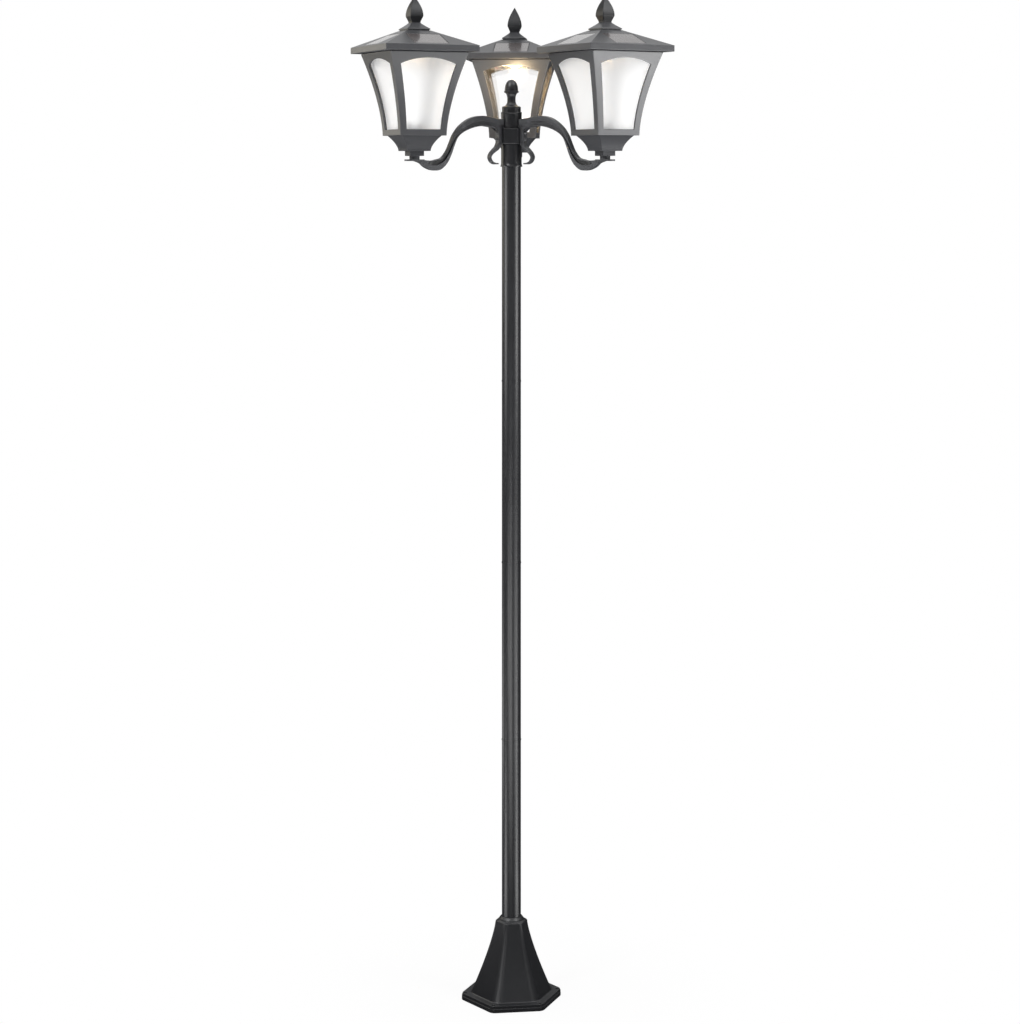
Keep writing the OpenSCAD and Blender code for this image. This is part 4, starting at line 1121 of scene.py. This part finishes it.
def floor_paper(horizon):
    """White paper for the floor, which keeps the lamp's shadow.

    The camera sees it as white as the surround, and its own shade is mixed in only round the base, so
    no edge of it is seen. Reflections show it at the horizon's level.
    """
    paper, tree, shader = new_material("Floor Paper")
    shader.inputs["Base Color"].default_value = (0.86, 0.86, 0.86, 1)
    shader.inputs["Roughness"].default_value = 0.9
    shader.inputs["Specular IOR Level"].default_value = 0.0
    path, seen = seen_rays(tree)
    across = tree.nodes.new("ShaderNodeVectorMath")
    across.operation = "LENGTH"
    tree.links.new(tree.nodes.new("ShaderNodeTexCoord").outputs["Object"], across.inputs[0])
    away = remap(tree, across.outputs["Value"], 0.92, 1.0, 0.08, 0.5, smooth=True)
    glow = tree.nodes.new("ShaderNodeEmission")
    tree.links.new(blend(tree, seen, horizon, 1.0), glow.inputs["Strength"])
    share = math_node(tree, "MAXIMUM", math_node(tree, "MULTIPLY", seen, away), path.outputs["Is Glossy Ray"])
    mix = tree.nodes.new("ShaderNodeMixShader")
    tree.links.new(share, mix.inputs["Fac"])
    tree.links.new(shader.outputs["BSDF"], mix.inputs[1])
    tree.links.new(glow.outputs["Emission"], mix.inputs[2])
    tree.links.new(mix.outputs["Shader"], tree.nodes["Material Output"].inputs["Surface"])
    return paper


def area_light(name, place, target, size, power):
    """A soft rectangular light, size across by along, at a place and facing a target."""
    data = bpy.data.lights.new(name, "AREA")
    data.shape = "RECTANGLE"
    data.size, data.size_y = size
    data.energy = power
    lamp = placed(name, data, place)
    way = np.array(target) - np.array(place)
    pitch = math.atan2(math.hypot(way[0], way[1]), -way[2])
    lamp.rotation_euler = (pitch, 0, math.atan2(way[1], way[0]) - math.pi / 2)
    lamp.visible_camera = lamp.visible_transmission = False
    return lamp


def floor_light(name, x, y, size, power):
    """A light that lies on the floor and faces up."""
    return area_light(name, (x, y, 0.02), (x, y, 3), size, power)


def point_light(name, place, power, colour, radius):
    """A small round light that no view shows by itself."""
    data = bpy.data.lights.new(name, "POINT")
    data.energy, data.color, data.shadow_soft_size = power, colour, radius
    lamp = placed(name, data, place)
    lamp.visible_camera = lamp.visible_transmission = False
    return lamp


class GARDENLAMP_OT_studio(bpy.types.Operator):
    """Sets up the floor, the lights and the camera"""

    bl_idname = "gardenlamp.studio"
    bl_label = "Set up the studio"

    def lay_floor(self, studio):
        """Lays a wide level floor of white paper."""
        half = 30.0
        mesh = bpy.data.meshes.new("studio_floor")
        corners = [(-half, -half, 0), (half, -half, 0), (half, half, 0), (-half, half, 0)]
        mesh.from_pydata(corners, [], [(0, 1, 2, 3)])
        mesh.materials.append(floor_paper(studio.horizon))
        floor = placed("studio_floor", mesh)

    def hang_lights(self, studio):
        """Places the lights round the lamp; each is mirrored by the pieces that its comment names."""
        left, right, low = studio.left, studio.right, studio.low
        # the two sides of the upper pole, and the pole's front further down
        area_light("side_left", (-0.94, -0.34, 1.35), (0, 0, 1.35), (0.42, 0.62), 0.32 * left)
        area_light("side_right", (0.94, -0.34, 1.35), (0, 0, 1.35), (0.46, 0.62), 0.32 * right)
        area_light("front", (-0.06, -1.6, 0.48), (0, 0, 0.8), (0.26, 0.4), 0.09 * left)
        # the corners of the base, from low down, and its upper faces, from above
        area_light("corner_low_left", (-0.54, -0.84, 0.5), (0, 0, 0.2), (0.3, 0.36), 0.1 * left)
        area_light("corner_low_right", (0.74, -0.67, 0.5), (0, 0, 0.2), (0.24, 0.36), 0.025 * right)
        area_light("corner_left", (-0.96, -1.15, 2.5), (0, 0, 0.1), (0.4, 1.3), 1.9 * left)
        area_light("corner_right", (1.3, -0.75, 2.5), (0, 0, 0.1), (0.4, 1.3), 1.1 * right)
        # the lower pole
        for name, way, power in (("left", -1, left), ("right", 1, right)):
            strip = floor_light(f"strip_{name}", 1.13 * way, -0.41, (1.6, 0.36), 0.6 * power)
            strip.rotation_euler.z = math.radians(-20 * way)
        # the faces of the lanterns, which lean down
        floor_light("floor_right", 2.5, -1.05, (1.3, 1.3), low)
        floor_light("floor_near_right", 1.6, -1.6, (1.0, 1.0), 0.4 * low)
        floor_light("floor_front", -0.25, -2.1, (1.6, 1.3), 0.8 * low)
        floor_light("floor_behind", -2.0, 1.1, (1.5, 1.5), 0.45 * low)
        # the left faces of the lanterns, and the roofs
        rim = area_light("rim_left", (-2.57, 1.54, 2.0), (0, 0, 1.7), (1.6, 1.6), 0.4 * low)
        rim.data.color = (1.0, 0.94, 0.8)
        area_light("roof_sheen", (-0.35, 3.0, 3.0), (0, 0, 1.75), (2.4, 1.4), 0.25 * low)

    def light_leds(self, power):
        """Places a warm light under each lens, weak at the sides, and the back window's glow."""
        for name, share in (("left", 0.02), ("right", 0.02), ("back", 1.0)):
            low, high = box_mm(f"lens_{name}")
            place = ((low[0] + high[0]) / 2 * MM, (low[1] + high[1]) / 2 * MM, (low[2] - 10) * MM)
            lamp = point_light(f"led_{name}", place, power * share, (1.0, 0.66, 0.3), 0.006)
            lamp.visible_glossy = False
        point_light("window_glow", (0, 0.09, 1.67), 0.3 * power, (1.0, 0.76, 0.46), 0.02)

    def place_camera(self, studio):
        """Places the photograph's camera: level, with the picture shifted down to the whole pole."""
        data = bpy.data.cameras.new("photo_camera")
        data.sensor_fit = "HORIZONTAL"
        data.sensor_width = SENSOR_MM
        data.lens = FOCAL_PIXELS / PHOTO_WIDTH * SENSOR_MM
        data.shift_x, data.shift_y = (pixels / PHOTO_WIDTH for pixels in SHIFT_PIXELS)
        data.clip_end = 100
        camera = placed("photo_camera", data, (studio.distance * math.sin(studio.turn),
                                               -studio.distance * math.cos(studio.turn), studio.height))
        camera.rotation_euler = (math.pi / 2, 0, studio.turn)
        return camera

    def execute(self, context):
        scene = context.scene
        studio = scene.gardenlamp_studio
        world = bpy.data.worlds.new("Surround")
        scene.world = world
        world.use_nodes = True
        surround(world.node_tree, studio)
        self.lay_floor(studio)
        self.hang_lights(studio)
        self.light_leds(studio.leds)
        scene.camera = self.place_camera(studio)
        scene.view_settings.view_transform = "Standard"
        return {"FINISHED"}


class GARDENLAMP_PT_panel(bpy.types.Panel):
    """Lists the steps of the garden lamp"""

    bl_label = "Garden Lamp"
    bl_idname = "GARDENLAMP_PT_panel"
    bl_space_type = "VIEW_3D"
    bl_region_type = "UI"
    bl_category = "Garden Lamp"

    def draw(self, context):
        for owner in ("post", "lantern", "finish", "studio"):
            group = getattr(context.scene, f"gardenlamp_{owner}")
            box = self.layout.box()
            box.label(text=owner.capitalize())
            for key in group.__annotations__:
                box.prop(group, key)
        for step in STEPS:
            self.layout.operator(step.bl_idname)


STEPS = (
    GARDENLAMP_OT_finishes, GARDENLAMP_OT_base, GARDENLAMP_OT_hub, GARDENLAMP_OT_arms, GARDENLAMP_OT_frames,
    GARDENLAMP_OT_panes, GARDENLAMP_OT_pans, GARDENLAMP_OT_roofs, GARDENLAMP_OT_caps,
    GARDENLAMP_OT_small_parts, GARDENLAMP_OT_studio,
)
GROUPS = {
    "gardenlamp_post": GARDENLAMP_PG_post, "gardenlamp_lantern": GARDENLAMP_PG_lantern,
    "gardenlamp_finish": GARDENLAMP_PG_finish, "gardenlamp_studio": GARDENLAMP_PG_studio,
}


def register():
    for kind in (*GROUPS.values(), *STEPS, GARDENLAMP_PT_panel):
        bpy.utils.register_class(kind)
    for name, group in GROUPS.items():
        setattr(bpy.types.Scene, name, PointerProperty(type=group))


def unregister():
    for name in GROUPS:
        delattr(bpy.types.Scene, name)
    for kind in reversed((*GROUPS.values(), *STEPS, GARDENLAMP_PT_panel)):
        bpy.utils.unregister_class(kind)


def main():
    register()
    for step in STEPS:
        group, name = step.bl_idname.split(".")
        getattr(getattr(bpy.ops, group), name)()


if __name__ == "__main__":
    main()
